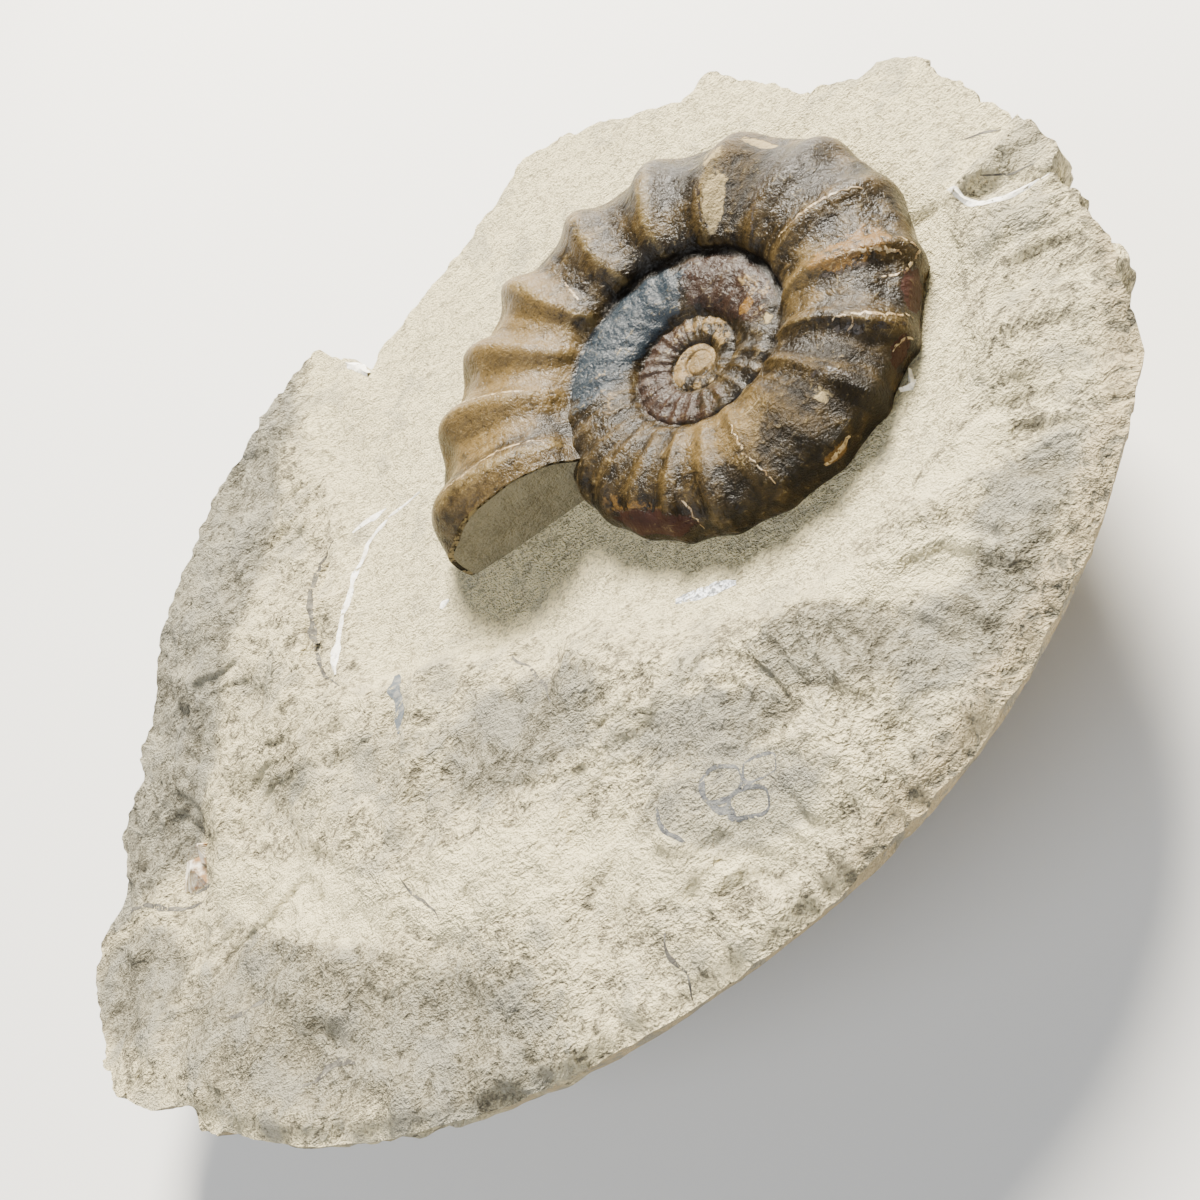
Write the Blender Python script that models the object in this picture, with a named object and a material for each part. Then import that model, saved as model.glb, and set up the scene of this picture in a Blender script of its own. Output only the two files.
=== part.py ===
"""Fossil ammonite in half of a split limestone nodule.

The coil lies in the top of the stone, bared to about half its thickness, and the stone rests on a small
flat spot under its middle. Units are metres, with +Z up. The origin is the centre of the flat spot. The
long way of the stone is along X, and the mouth of the coil opens towards -Y.
"""
import math

import bmesh
import bpy
from mathutils import Matrix, Vector, noise

MM = 0.001
TURN = 2 * math.pi

# The coil: its place, its log-spiral growth and its whorl section, which is in mouth radii
COIL_CENTRE = Vector((22.5, -2.5, 19.0)) * MM
COIL_RADIUS = 25.0 * MM
MOUTH_ANGLE = math.radians(180)
GROWTH_PER_RADIAN = 0.1045
GROWTH_SLOWING = 0.0008
WHORLS = 3.7
STATIONS_PER_WHORL = 90
SECTION_MIDDLE = 0.715
SECTION_HALF_DEPTH = 0.285
SECTION_HALF_WIDTH = 0.222
SECTION_SQUARENESS = 0.89
MOUTH_SLANT = math.radians(8.5)
SLANT_REACH = math.radians(55)
PLUG_DEPTH = 4.8 * MM
PLUG_TAPER = 0.985
FLANK_ANGLES = (142, 122, 100, 80)
OUTSIDE_ANGLES = (44, 26, 6, -16)

# Rib crests of the last whorl, in degrees back from the mouth; further in they follow every 15 degrees
RIB_CRESTS = (-8, -33, -53, -71, -93, -115, -139, -165, -187, -208,
              -230, -247, -263, -279, -295, -310, -325, -340, -353)
INNER_RIB_SPACING = 15.0
RIB_SHARPNESS = 1.6

# Depth of the hollows between ribs by the angle on the section, and its share left by the angle from the mouth
RIB_DEPTHS = ((-70, 0.0), (-15, 0.030), (15, 0.032), (45, 0.062), (85, 0.044), (115, 0.030), (140, 0.016),
              (158, 0.0))
RIB_WEAR = ((-1400, 0.4), (-700, 0.6), (-560, 0.35), (-400, 0.35), (-350, 0.7), (-275, 0.8), (-240, 1.0))

# The stone: its natural rim is part of an ellipse, fuller on its far side, with a shallow dome under it
RIM_CENTRE = (8.0, -1.0)
RIM_HALF_LENGTH_LEFT = 55.3
RIM_HALF_LENGTH_RIGHT = 43.4
RIM_HALF_WIDTH_NEAR = 38.1
RIM_HALF_WIDTH_FAR = 45.0
LENS_DEPTH = 18.0
LENS_FULLNESS = 2.1
FLAT_SPOT_DEPTH = 0.5
RIM_WALL = 1.0
COLUMN_SPACING = 2.5
TOP_RINGS = (0.965, 0.925, 0.88, 0.83, 0.775, 0.72, 0.66, 0.60, 0.53, 0.46, 0.39, 0.32, 0.24, 0.16, 0.08)
UNDER_RINGS = (0.98, 0.93, 0.86, 0.77, 0.66, 0.54, 0.42, 0.31, 0.20)
HALF_COLUMNS_INSIDE = 0.70
QUARTER_COLUMNS_INSIDE = 0.35

# The broken edge, in millimetres from the origin, going round the far side from right to left
BROKEN_EDGE = (
    (41.5, -24.8), (44.2, -19.8), (45.4, -16.5), (45.8, -13.5), (45.7, -12.5), (47.5, -11.5),
    (48.0, -4.0), (48.0, 3.0), (48.5, 4.5), (47.0, 8.0), (45.5, 8.0), (42.5, 11.0), (41.5, 16.5),
    (39.5, 23.0), (36.5, 22.8), (31.5, 29.0), (28.0, 33.0), (23.5, 35.0), (19.0, 33.2), (10.0, 32.0),
    (2.5, 31.5), (0.8, 30.0), (-0.5, 34.0), (-2.5, 37.0), (-8.2, 35.0), (-10.5, 32.5), (-17.5, 31.5),
    (-24.0, 28.0), (-29.0, 24.5), (-34.0, 20.0), (-38.0, 17.5), (-39.0, 14.5), (-44.5, 12.5),
    (-45.5, 8.5), (-50.0, 4.5), (-51.5, 0.0), (-51.0, -7.5), (-47.5, -13.0), (-42.5, -17.3),
    (-40.0, -19.0), (-40.2, -20.5), (-38.5, -22.3))

# Forms of the split face, in millimetres; places are from the coil's centre
CUT_LEVEL = -1.2
SPLIT_LEVEL = 0.9
SWELL_HEIGHT = 0.9
SWELLS_PER_MM = 0.055
LUMP_HEIGHT_ON_CUT = 0.15
LUMP_HEIGHT_ADDED_ON_SPLIT = 0.35
LUMPS_PER_MM = 0.16
RIM_ROUNDING = 0.6
DISH_EDGE = ((0, 40.0), (60, 46.0), (120, 50.0), (150, 39.0), (175, 38.0), (186, 30.0), (195, 25.0),
             (218, 21.5), (240, 22.5), (270, 23.0), (298, 23.0), (318, 21.5), (340, 21.0), (360, 40.0))
DISH_WALL = 5.0
DISH_TOP = 1.5
LEFT_SLOPE_FROM = -43.0
LEFT_SLOPE_TO = -63.0
LEFT_SLOPE_DROP = 3.2
LEFT_SLOPE_LEAN = 0.35
LEFT_SLOPE_NEAR_END = -16.0
LEDGE_CORNER = (-22.5, 31.0)
LEDGE_RISE = 0.9
GROOVE_CENTRE = (-22.4, 6.0)
GROOVE_RADIUS = 15.9
GROOVE_SPAN = (132.0, 192.0)
GROOVE_DEPTH = 0.9
GROOVE_WIDTH = 1.3
GROOVE_FADE = 10.0
HOLLOWS = (
    # place x, y, half-length, half-width, turn in degrees, depth
    (-23.5, -9.0, 4.5, 2.6, 60.0, 0.7),
    (-50.5, -21.5, 4.0, 2.4, -45.0, 1.0),
    (-59.5, 4.4, 4.4, 3.2, 20.0, 1.1),
    (-33.5, -2.0, 1.8, 4.0, -20.0, 0.5),
    (-19.0, -3.5, 9.0, 5.0, 0.0, 0.9))
REPAIR_LINE = ((18.0, -5.0), (24.0, -10.6))
REPAIR_STEP = 0.7
UNDER_LUMP_HEIGHT = 0.9
UNDER_LUMPS_PER_MM = 0.045

# The chip of another shell near the left end of the stone
CHIP_PLACE = (-59.5, 4.4)
CHIP_HALF_LENGTH = 2.6
CHIP_HALF_WIDTH = 1.7
CHIP_HEIGHT = 1.3
CHIP_TURN = math.radians(35)

FIT_GAP = 0.35 * MM


def smooth_step(low, high, value):
    """Rises smoothly from 0 at low to 1 at high."""
    t = min(max((value - low) / (high - low), 0.0), 1.0)
    return t * t * (3 - 2 * t)


def between_stops(stops, value):
    """Reads a value off a list of (place, height) stops, easing between them."""
    for (left, low), (right, high) in zip(stops, stops[1:]):
        if value <= right:
            return low + (high - low) * smooth_step(left, right, value)
    return stops[-1][1]


def make_material(name, colour, roughness):
    """A plain stone or shell surface."""
    material = bpy.data.materials.new(name)
    material.use_nodes = True
    shader = material.node_tree.nodes["Principled BSDF"]
    shader.inputs["Base Color"].default_value = (*colour, 1.0)
    shader.inputs["Roughness"].default_value = roughness
    shader.inputs["Metallic"].default_value = 0.0
    return material


def make_object(name, bm, material):
    """Turns a finished bmesh into a named object."""
    bmesh.ops.recalc_face_normals(bm, faces=bm.faces)
    mesh = bpy.data.meshes.new(name)
    bm.to_mesh(mesh)
    bm.free()
    mesh.materials.append(material)
    thing = bpy.data.objects.new(name, mesh)
    bpy.context.collection.objects.link(thing)
    mesh.shade_smooth()
    mesh.set_sharp_from_angle(angle=math.radians(38))
    return thing


def extrude_ring(bm, ring, closed):
    """Extrudes a row of vertices once and returns the new row in the same order."""
    pairs = list(zip(ring, ring[1:] + ring[:1] if closed else ring[1:]))
    edges = [next(e for e in a.link_edges if e.other_vert(a) is b) for a, b in pairs]
    made = bmesh.ops.extrude_edge_only(bm, edges=edges)["geom"]
    fresh = {v for v in made if isinstance(v, bmesh.types.BMVert)}
    return [next(e.other_vert(v) for e in v.link_edges if e.other_vert(v) in fresh) for v in ring]


# The coil

def whorl_section(angle):
    """Radius and height on the whorl's rounded section, in mouth radii.

    The angle is 0 on the venter, 90 degrees on the flank and 180 degrees towards the coil's centre.
    """
    c, s = math.cos(angle), math.sin(angle)
    out = SECTION_HALF_DEPTH * math.copysign(abs(c) ** SECTION_SQUARENESS, c)
    up = SECTION_HALF_WIDTH * math.copysign(abs(s) ** SECTION_SQUARENESS, s)
    return SECTION_MIDDLE + out, up


def seam_angles():
    """Where a whorl's section meets the whorl before it, and the whorl after it."""
    shrink = math.exp(-GROWTH_PER_RADIAN * TURN)
    power = 1 / SECTION_SQUARENESS
    low, high = 0.0, math.pi / 2
    for _ in range(40):
        outer = (low + high) / 2
        radius, height = (shrink * part for part in whorl_section(outer))
        across = (abs(radius - SECTION_MIDDLE) / SECTION_HALF_DEPTH) ** power
        along = (height / SECTION_HALF_WIDTH) ** power
        if across ** 2 + along ** 2 < 1:
            low = outer
        else:
            high = outer
    return math.atan2(along, -across), outer


def rib_height(turn_back):
    """Height of the ribbing, 0 to 1, at an angle back from the mouth."""
    degrees = math.degrees(turn_back)
    if degrees > RIB_CRESTS[0]:
        phase = (degrees - RIB_CRESTS[0]) / (RIB_CRESTS[0] - RIB_CRESTS[1])
    elif degrees <= RIB_CRESTS[-1]:
        phase = (degrees - RIB_CRESTS[-1]) / INNER_RIB_SPACING
    else:
        crest = next(i for i, place in enumerate(RIB_CRESTS) if place < degrees)
        phase = (degrees - RIB_CRESTS[crest]) / (RIB_CRESTS[crest - 1] - RIB_CRESTS[crest])
    return (0.5 + 0.5 * math.cos(TURN * phase)) ** RIB_SHARPNESS


def rib_depth(turn_back, angle):
    """How deep the hollows between ribs are at a place on the shell, in mouth radii."""
    depth = between_stops(RIB_DEPTHS, math.degrees(angle))
    return depth * between_stops(RIB_WEAR, math.degrees(turn_back))


def coil_point(turn_back, angle):
    """A point of the ribbed shell, in mouth radii round the coil's centre."""
    radius, height = whorl_section(angle)
    step = 0.01
    ahead, behind = whorl_section(angle + step), whorl_section(angle - step)
    normal = Vector((behind[1] - ahead[1], ahead[0] - behind[0])).normalized()
    sink = rib_depth(turn_back, angle) * (1 - rib_height(turn_back))
    radius += normal.x * sink
    height += normal.y * sink
    lag = MOUTH_SLANT * smooth_step(-SLANT_REACH, 0, turn_back)
    inner = whorl_section(math.pi * 0.87)[0]
    turn_back -= lag * min(max((radius - inner) / (1 - inner), 0.0), 1.0)
    size = math.exp(GROWTH_PER_RADIAN * turn_back)
    reach = size * radius
    if reach > 0:
        back = math.log(reach) / GROWTH_PER_RADIAN
        size *= math.exp(-GROWTH_SLOWING * back * back)
    around = MOUTH_ANGLE + turn_back
    return Vector((size * radius * math.cos(around), size * radius * math.sin(around), size * height))


def build_ammonite(material):
    """Sweeps the whorl section back from the mouth, sews each whorl to the next and closes the body."""
    inner, outer = seam_angles()
    flank = [math.radians(angle) for angle in FLANK_ANGLES]
    outside = [math.radians(angle) for angle in OUTSIDE_ANGLES]
    angles = [inner] + flank + [outer] + outside
    seam = len(flank) + 1
    steps = round(WHORLS * STATIONS_PER_WHORL)

    bm = bmesh.new()
    row = [bm.verts.new(coil_point(0.0, a)) for a in angles]
    row.append(bm.verts.new(row[-1].co))
    for a, b in zip(row, row[1:]):
        bm.edges.new((a, b))
    rows = [row]
    for station in range(1, steps + 1):
        turn_back = -TURN * station / STATIONS_PER_WHORL
        if station == STATIONS_PER_WHORL + 1:
            row = row[:seam + 1]
        row = extrude_ring(bm, row, closed=False)
        for vert, angle in zip(row, angles):
            vert.co = coil_point(turn_back, angle)
        rows.append(row)

    # The root of the shell goes straight down into the stone to one level
    for row in rows[:STATIONS_PER_WHORL + 1]:
        side, foot = row[-2], row[-1]
        foot.co = Vector((side.co.x * PLUG_TAPER, side.co.y * PLUG_TAPER, -PLUG_DEPTH / COIL_RADIUS))

    # Each whorl's inner seam is the outer seam of the whorl before
    targets = {}
    for station in range(steps + 1 - STATIONS_PER_WHORL):
        targets[rows[station][0]] = rows[station + STATIONS_PER_WHORL][seam]
    middle_ring = [rows[station][0] for station in range(steps + 1 - STATIONS_PER_WHORL, steps + 1)]
    bmesh.ops.weld_verts(bm, targetmap=targets)

    # The middle closes with a low cone, the mouth and the root with flat faces
    centre = bm.verts.new((0, 0, middle_ring[-1].co.z * 1.1))
    loop = middle_ring + rows[steps][1:seam + 1]
    for a, b in zip(loop, loop[1:] + loop[:1]):
        bm.faces.new((a, b, centre))
    first, last = rows[0], rows[STATIONS_PER_WHORL]
    bm.faces.new(first[1:] + list(reversed(last[seam:])))
    bm.faces.new([row[-1] for row in rows[:STATIONS_PER_WHORL + 1]])
    mouth_plane(first, last[seam:])

    bmesh.ops.scale(bm, vec=Vector((COIL_RADIUS,) * 3), verts=bm.verts)
    bmesh.ops.translate(bm, vec=COIL_CENTRE, verts=bm.verts)
    bmesh.ops.triangulate(bm, faces=[f for f in bm.faces if len(f.verts) > 4])
    return make_object("ammonite", bm, material)


def mouth_plane(rim, start):
    """Lays the rim of the mouth and the start of the last whorl beside it in one upright plane."""
    corner, outer_end = start[0].co.copy(), rim[-2].co
    along = Vector((outer_end.x - corner.x, outer_end.y - corner.y, 0)).normalized()
    normal = Vector((-along.y, along.x, 0))
    for vert in rim[1:] + start[1:]:
        vert.co -= normal * (vert.co - corner).dot(normal)


def build_socket():
    """The cutter for the coil's bed in the stone: its outline, a little wider, down to below its root."""
    bm = bmesh.new()
    outline = []
    for station in range(STATIONS_PER_WHORL + 1):
        point = coil_point(-TURN * station / STATIONS_PER_WHORL, 0.0) * COIL_RADIUS
        point += point.normalized() * FIT_GAP
        outline.append(Vector((point.x, point.y, 0)))
    along = (outline[0] - outline[-1]).normalized()
    forward = Vector((-along.y, along.x, 0)) * -FIT_GAP
    if forward.y > 0:
        forward.negate()
    outline = [outline[-1] + forward, outline[0] + forward] + outline[:-1]
    verts = [bm.verts.new(point + COIL_CENTRE - Vector((0, 0, PLUG_DEPTH + FIT_GAP))) for point in outline]
    bottom = bm.faces.new(verts)
    raised = bmesh.ops.extrude_face_region(bm, geom=[bottom])["geom"]
    top = [v for v in raised if isinstance(v, bmesh.types.BMVert)]
    bmesh.ops.translate(bm, vec=(0, 0, 4 * PLUG_DEPTH), verts=top)
    return bm


# The stone

def rim_place(x, y):
    """A place as fractions of the natural nodule's half-length and half-width; sizes in millimetres."""
    dx, dy = x - RIM_CENTRE[0], y - RIM_CENTRE[1]
    half_length = RIM_HALF_LENGTH_RIGHT if dx > 0 else RIM_HALF_LENGTH_LEFT
    half_width = RIM_HALF_WIDTH_FAR if dy > 0 else RIM_HALF_WIDTH_NEAR
    return dx / half_length, dy / half_width


def rim_fraction(x, y):
    """How far a place is from the middle of the natural nodule to its rim, 0 to 1."""
    return math.hypot(*rim_place(x, y))


def coil_edge(around):
    """Distance from the coil's centre to its outer edge, in millimetres, in a direction in degrees."""
    back = (around - math.degrees(MOUTH_ANGLE)) % 360 - 360
    return COIL_RADIUS / MM * math.exp(GROWTH_PER_RADIAN * math.radians(back))


def left_slope(px, py):
    """How far the stone falls away towards its left end; the place is from the coil's centre."""
    slope_line = px + LEFT_SLOPE_LEAN * (py - 8)
    fallen = smooth_step(LEFT_SLOPE_FROM, LEFT_SLOPE_TO, slope_line)
    return LEFT_SLOPE_DROP * fallen * smooth_step(LEFT_SLOPE_NEAR_END, 0, py)


def split_height(x, y):
    """Height of the split and cut face of the stone above the coil's middle plane, in millimetres."""
    px, py = x - COIL_CENTRE.x / MM, y - COIL_CENTRE.y / MM
    reach, around = math.hypot(px, py), math.degrees(math.atan2(py, px)) % 360
    dish_edge = between_stops(DISH_EDGE, around)
    dish_start = max(coil_edge(around), dish_edge - DISH_WALL)
    split = smooth_step(dish_start - 1, dish_edge + DISH_TOP, reach)
    height = CUT_LEVEL + (SPLIT_LEVEL - CUT_LEVEL) * split
    rough = smooth_step(0.45, 1.0, split)
    swell = noise.noise(Vector((x * SWELLS_PER_MM, y * SWELLS_PER_MM, 3.1)))
    lump = noise.noise(Vector((x * LUMPS_PER_MM, y * LUMPS_PER_MM, 7.7)))
    height += rough * SWELL_HEIGHT * swell
    height += (LUMP_HEIGHT_ON_CUT + LUMP_HEIGHT_ADDED_ON_SPLIT * rough) * lump

    height -= left_slope(px, py)
    past_ledge = smooth_step(-1.5, 1.5, LEDGE_CORNER[0] - px) * smooth_step(-9, 3, py - LEDGE_CORNER[1])
    height += LEDGE_RISE * past_ledge

    gx, gy = px - GROOVE_CENTRE[0], py - GROOVE_CENTRE[1]
    along = math.degrees(math.atan2(gy, gx)) % 360
    if GROOVE_SPAN[0] < along < GROOVE_SPAN[1]:
        fade = smooth_step(GROOVE_SPAN[0], GROOVE_SPAN[0] + GROOVE_FADE, along)
        fade *= smooth_step(GROOVE_SPAN[1], GROOVE_SPAN[1] - GROOVE_FADE, along)
        height -= GROOVE_DEPTH * fade * math.exp(-((math.hypot(gx, gy) - GROOVE_RADIUS) / GROOVE_WIDTH) ** 2)
    for hx, hy, long, wide, turn, depth in HOLLOWS:
        c, s = math.cos(math.radians(turn)), math.sin(math.radians(turn))
        dx, dy = px - hx, py - hy
        inside = math.hypot((dx * c + dy * s) / long, (dy * c - dx * s) / wide)
        height -= depth * smooth_step(1.3, 0.3, inside)

    (ax, ay), (bx, by) = REPAIR_LINE
    side = ((bx - ax) * (py - ay) - (by - ay) * (px - ax)) / math.hypot(bx - ax, by - ay)
    height += REPAIR_STEP * smooth_step(-0.8, 0.8, side) * smooth_step(14, 19, px) * smooth_step(12, 2, py)
    height -= RIM_ROUNDING * smooth_step(0.965, 1.0, rim_fraction(x, y))
    return height


def lens_height(x, y):
    """Height of the stone's weathered underside above the flat spot, in millimetres."""
    fraction = 0.0
    for _ in range(8):
        fraction = rim_fraction(x + RIM_CENTRE[0] * (1 - fraction), y + RIM_CENTRE[1] * (1 - fraction))
    fraction = min(fraction, 1.0)
    depth = LENS_DEPTH - left_slope(x - COIL_CENTRE.x / MM, y - COIL_CENTRE.y / MM)
    height = depth * fraction ** LENS_FULLNESS - FLAT_SPOT_DEPTH
    lumps = smooth_step(0.25, 0.6, fraction)
    lump = noise.noise(Vector((x * UNDER_LUMPS_PER_MM, y * UNDER_LUMPS_PER_MM, 21.0)))
    height += lumps * UNDER_LUMP_HEIGHT * lump
    return max(height, 0.0)


def stone_outline():
    """Points of the outline in order, a multiple of four: the broken edge, then the natural rim as an arc."""
    points = []
    corners = [Vector(p) for p in BROKEN_EDGE]
    for a, b in zip(corners, corners[1:]):
        parts = max(1, round((b - a).length / COLUMN_SPACING))
        points += [a.lerp(b, i / parts) for i in range(parts)]
    points.append(corners[-1])

    starts = [rim_place(*corner) for corner in (corners[-1], corners[0])]
    start, end = (math.atan2(y, x) % TURN for x, y in starts)
    parts = round((end - start) * RIM_HALF_LENGTH_RIGHT / COLUMN_SPACING)
    parts -= (len(points) + parts - 1) % 4
    for i in range(1, parts):
        angle = start + (end - start) * i / parts
        half_length = RIM_HALF_LENGTH_RIGHT if math.cos(angle) > 0 else RIM_HALF_LENGTH_LEFT
        points.append(Vector((RIM_CENTRE[0] + half_length * math.cos(angle),
                              RIM_CENTRE[1] + RIM_HALF_WIDTH_NEAR * math.sin(angle))))
    return points


def thin_ring(bm, ring, keep):
    """Merges a ring's vertices in groups, so that inner rings have fewer."""
    groups = [ring[i:i + keep] for i in range(0, len(ring), keep)]
    for group in groups:
        bmesh.ops.pointmerge(bm, verts=group, merge_co=group[keep // 2].co)


def build_matrix(material):
    """The stone: rings from its outline inwards over the top, and down its wall and under."""
    bm = bmesh.new()
    outline = stone_outline()
    rim = [bm.verts.new((p.x, p.y, 0.0)) for p in outline]
    for a, b in zip(rim, rim[1:] + rim[:1]):
        bm.edges.new((a, b))

    def ring_at(before, fraction, height):
        ring = extrude_ring(bm, before, closed=True)
        for vert, p in zip(ring, outline):
            vert.co = (p.x * fraction, p.y * fraction, height(p.x * fraction, p.y * fraction))
        return ring

    def top_height(x, y):
        return COIL_CENTRE.z / MM + split_height(x, y)

    for vert in rim:
        vert.co.z = top_height(vert.co.x, vert.co.y)
    top, ring = [], rim
    for fraction in TOP_RINGS:
        ring = ring_at(ring, fraction, top_height)
        top.append((fraction, ring))
    bm.faces.new(ring)

    under, ring = [], extrude_ring(bm, rim, closed=True)
    for vert, p in zip(ring, outline):
        wall_top = top_height(p.x, p.y)
        drop = min(RIM_WALL, 0.5 * (wall_top - lens_height(p.x, p.y)))
        vert.co = (p.x * 0.999, p.y * 0.999, wall_top - drop)
    for fraction in UNDER_RINGS:
        ring = ring_at(ring, fraction, lens_height)
        under.append((fraction, ring))
    for vert in ring:
        vert.co.z = 0.0
    bm.faces.new(ring)

    for fraction, ring in top + under:
        if fraction < QUARTER_COLUMNS_INSIDE:
            thin_ring(bm, ring, 4)
        elif fraction < HALF_COLUMNS_INSIDE:
            thin_ring(bm, ring, 2)
    bmesh.ops.scale(bm, vec=Vector((MM,) * 3), verts=bm.verts)
    return make_object("matrix", bm, material)


# The chip

def chip_bmesh(grow):
    """A small ribbed valve: a flattened dome with a pointed end, grown outwards by a gap."""
    bm = bmesh.new()
    bmesh.ops.create_uvsphere(bm, u_segments=14, v_segments=8, radius=1.0)
    for vert in bm.verts:
        x, y, z = vert.co
        taper = 1 - 0.35 * x
        vert.co = (x * (CHIP_HALF_LENGTH + grow), y * taper * (CHIP_HALF_WIDTH + grow),
                   z * (CHIP_HEIGHT + grow))
    px, py = CHIP_PLACE
    x, y = px + COIL_CENTRE.x / MM, py + COIL_CENTRE.y / MM
    place = Vector((x, y, COIL_CENTRE.z / MM + split_height(x, y) - 0.2))
    bmesh.ops.transform(bm, matrix=Matrix.Translation(place) @ Matrix.Rotation(CHIP_TURN, 4, "Z"), verts=bm.verts)
    bmesh.ops.scale(bm, vec=Vector((MM,) * 3), verts=bm.verts)
    return bm


def cut_with(stone, name, bm):
    """Cuts a bed in the stone with a hidden cutter."""
    bmesh.ops.recalc_face_normals(bm, faces=bm.faces)
    mesh = bpy.data.meshes.new(name)
    bm.to_mesh(mesh)
    bm.free()
    cutter = bpy.data.objects.new(name, mesh)
    bpy.context.collection.objects.link(cutter)
    cutter.hide_render = True
    cutter.display_type = "WIRE"
    cut = stone.modifiers.new(name, "BOOLEAN")
    cut.operation = "DIFFERENCE"
    cut.solver = "EXACT"
    cut.object = cutter


def main():
    for thing in list(bpy.data.objects):
        bpy.data.objects.remove(thing, do_unlink=True)
    stone = make_material("limestone", (0.56, 0.53, 0.46), 0.9)
    shell = make_material("fossil shell", (0.16, 0.12, 0.08), 0.35)
    chip = make_material("shell chip", (0.62, 0.5, 0.36), 0.4)
    matrix = build_matrix(stone)
    build_ammonite(shell)
    make_object("shell_fragment", chip_bmesh(0.0), chip)
    cut_with(matrix, "coil bed", build_socket())
    cut_with(matrix, "chip bed", chip_bmesh(FIT_GAP / MM))


main()
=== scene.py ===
"""Scene of a fossil ammonite in half of a split limestone nodule.

The stone lies on its small flat spot on a pale studio floor. The camera looks down on it as the photograph
does. Lengths are in metres in the scene and in millimetres inside the forms; +Z is up.
"""

import logging
import math
from collections.abc import Callable, Sequence
from dataclasses import dataclass
from enum import Enum

import bmesh
import bpy
from mathutils import Matrix, Vector, noise
from mathutils.bvhtree import BVHTree


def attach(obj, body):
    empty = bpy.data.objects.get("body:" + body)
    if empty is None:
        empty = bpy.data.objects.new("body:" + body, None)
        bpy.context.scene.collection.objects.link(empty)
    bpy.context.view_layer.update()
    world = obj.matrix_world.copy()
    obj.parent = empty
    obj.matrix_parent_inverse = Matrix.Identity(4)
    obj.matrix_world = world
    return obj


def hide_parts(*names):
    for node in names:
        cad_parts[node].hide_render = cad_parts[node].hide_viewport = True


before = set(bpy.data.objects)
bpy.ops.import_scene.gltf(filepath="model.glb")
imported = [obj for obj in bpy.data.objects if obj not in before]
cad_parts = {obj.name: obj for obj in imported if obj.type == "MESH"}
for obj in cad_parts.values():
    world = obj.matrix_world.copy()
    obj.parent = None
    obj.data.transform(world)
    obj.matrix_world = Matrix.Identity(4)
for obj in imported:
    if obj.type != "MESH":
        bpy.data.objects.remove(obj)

LOG = logging.getLogger("ammonite")
MM = 0.001
TURN = 2 * math.pi
COIL_CENTRE = Vector((22.5, -2.5, 19.0))
COIL_UV = "coil"
SHARP_ANGLE = math.radians(50)

Vert = bmesh.types.BMVert
Rows = list[list[Vert]]
Path = tuple[tuple[float, float], ...]
Surface = Callable[[float, float, float], Vector]


class Slot(Enum):
    """Material slots of the record."""

    LIMESTONE = "limestone"
    SHELL = "fossil_shell"
    CHIP = "shell_chip"


class Tint(Enum):
    """Vertex attributes, 0 to 1, that carry the zones of a surface to its finish."""

    CUT = "cut"
    SLOPE = "slope"
    STAIN = "stain"
    PALE = "pale"
    RIM = "rim"
    # Rib crests, where the shell is painted lighter as a highlight.
    CREST = "crest"
    # Seams between whorls, where the shell is painted near black as shade.
    SEAM = "seam"
    HONEY = "honey"
    OCHRE = "ochre"
    BARE = "bare"
    BLUE = "blue"
    DARK = "dark"
    TAN = "tan"
    CELLS = "cells"
    PLUM = "plum"
    ROUGH = "rough"


# Small maths

def rise(low: float, high: float, value: float) -> float:
    """Rises smoothly from 0 at low to 1 at high; low may be the larger.

    Args:
        low: The value at which the result is 0.
        high: The value at which the result is 1.
        value: The value to read.

    Returns:
        The smooth step, 0 to 1.
    """
    t = min(max((value - low) / (high - low), 0.0), 1.0)
    return t * t * (3 - 2 * t)


def ease(stops: Sequence[tuple[float, float]], value: float) -> float:
    """Reads a value off (place, height) stops with a smooth run between them.

    Args:
        stops: The stops, by rising place.
        value: The place to read.

    Returns:
        The eased height.
    """
    for (left, low), (right, high) in zip(stops, stops[1:]):
        if value <= right:
            return low + (high - low) * rise(left, right, value)
    return stops[-1][1]


def grain(x: float, y: float, z: float, size: float) -> float:
    """Soft noise between about -1 and 1.

    Args:
        x: Place along X in millimetres.
        y: Place along Y in millimetres.
        z: Place along Z in millimetres, or a seed.
        size: Size of one lump in millimetres.

    Returns:
        The noise.
    """
    return noise.noise(Vector((x / size, y / size, z / size)))


def swell(x: float, y: float, pace_x: float, pace_y: float, seed: float) -> float:
    """Soft noise between about -1 and 1 over a plan, with its own pace along X and Y.

    Args:
        x: Place along X.
        y: Place along Y.
        pace_x: Lumps for one unit along X.
        pace_y: Lumps for one unit along Y.
        seed: Which noise it is.

    Returns:
        The noise.
    """
    return noise.noise(Vector((x * pace_x, y * pace_y, seed)))


# Shader building

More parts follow.
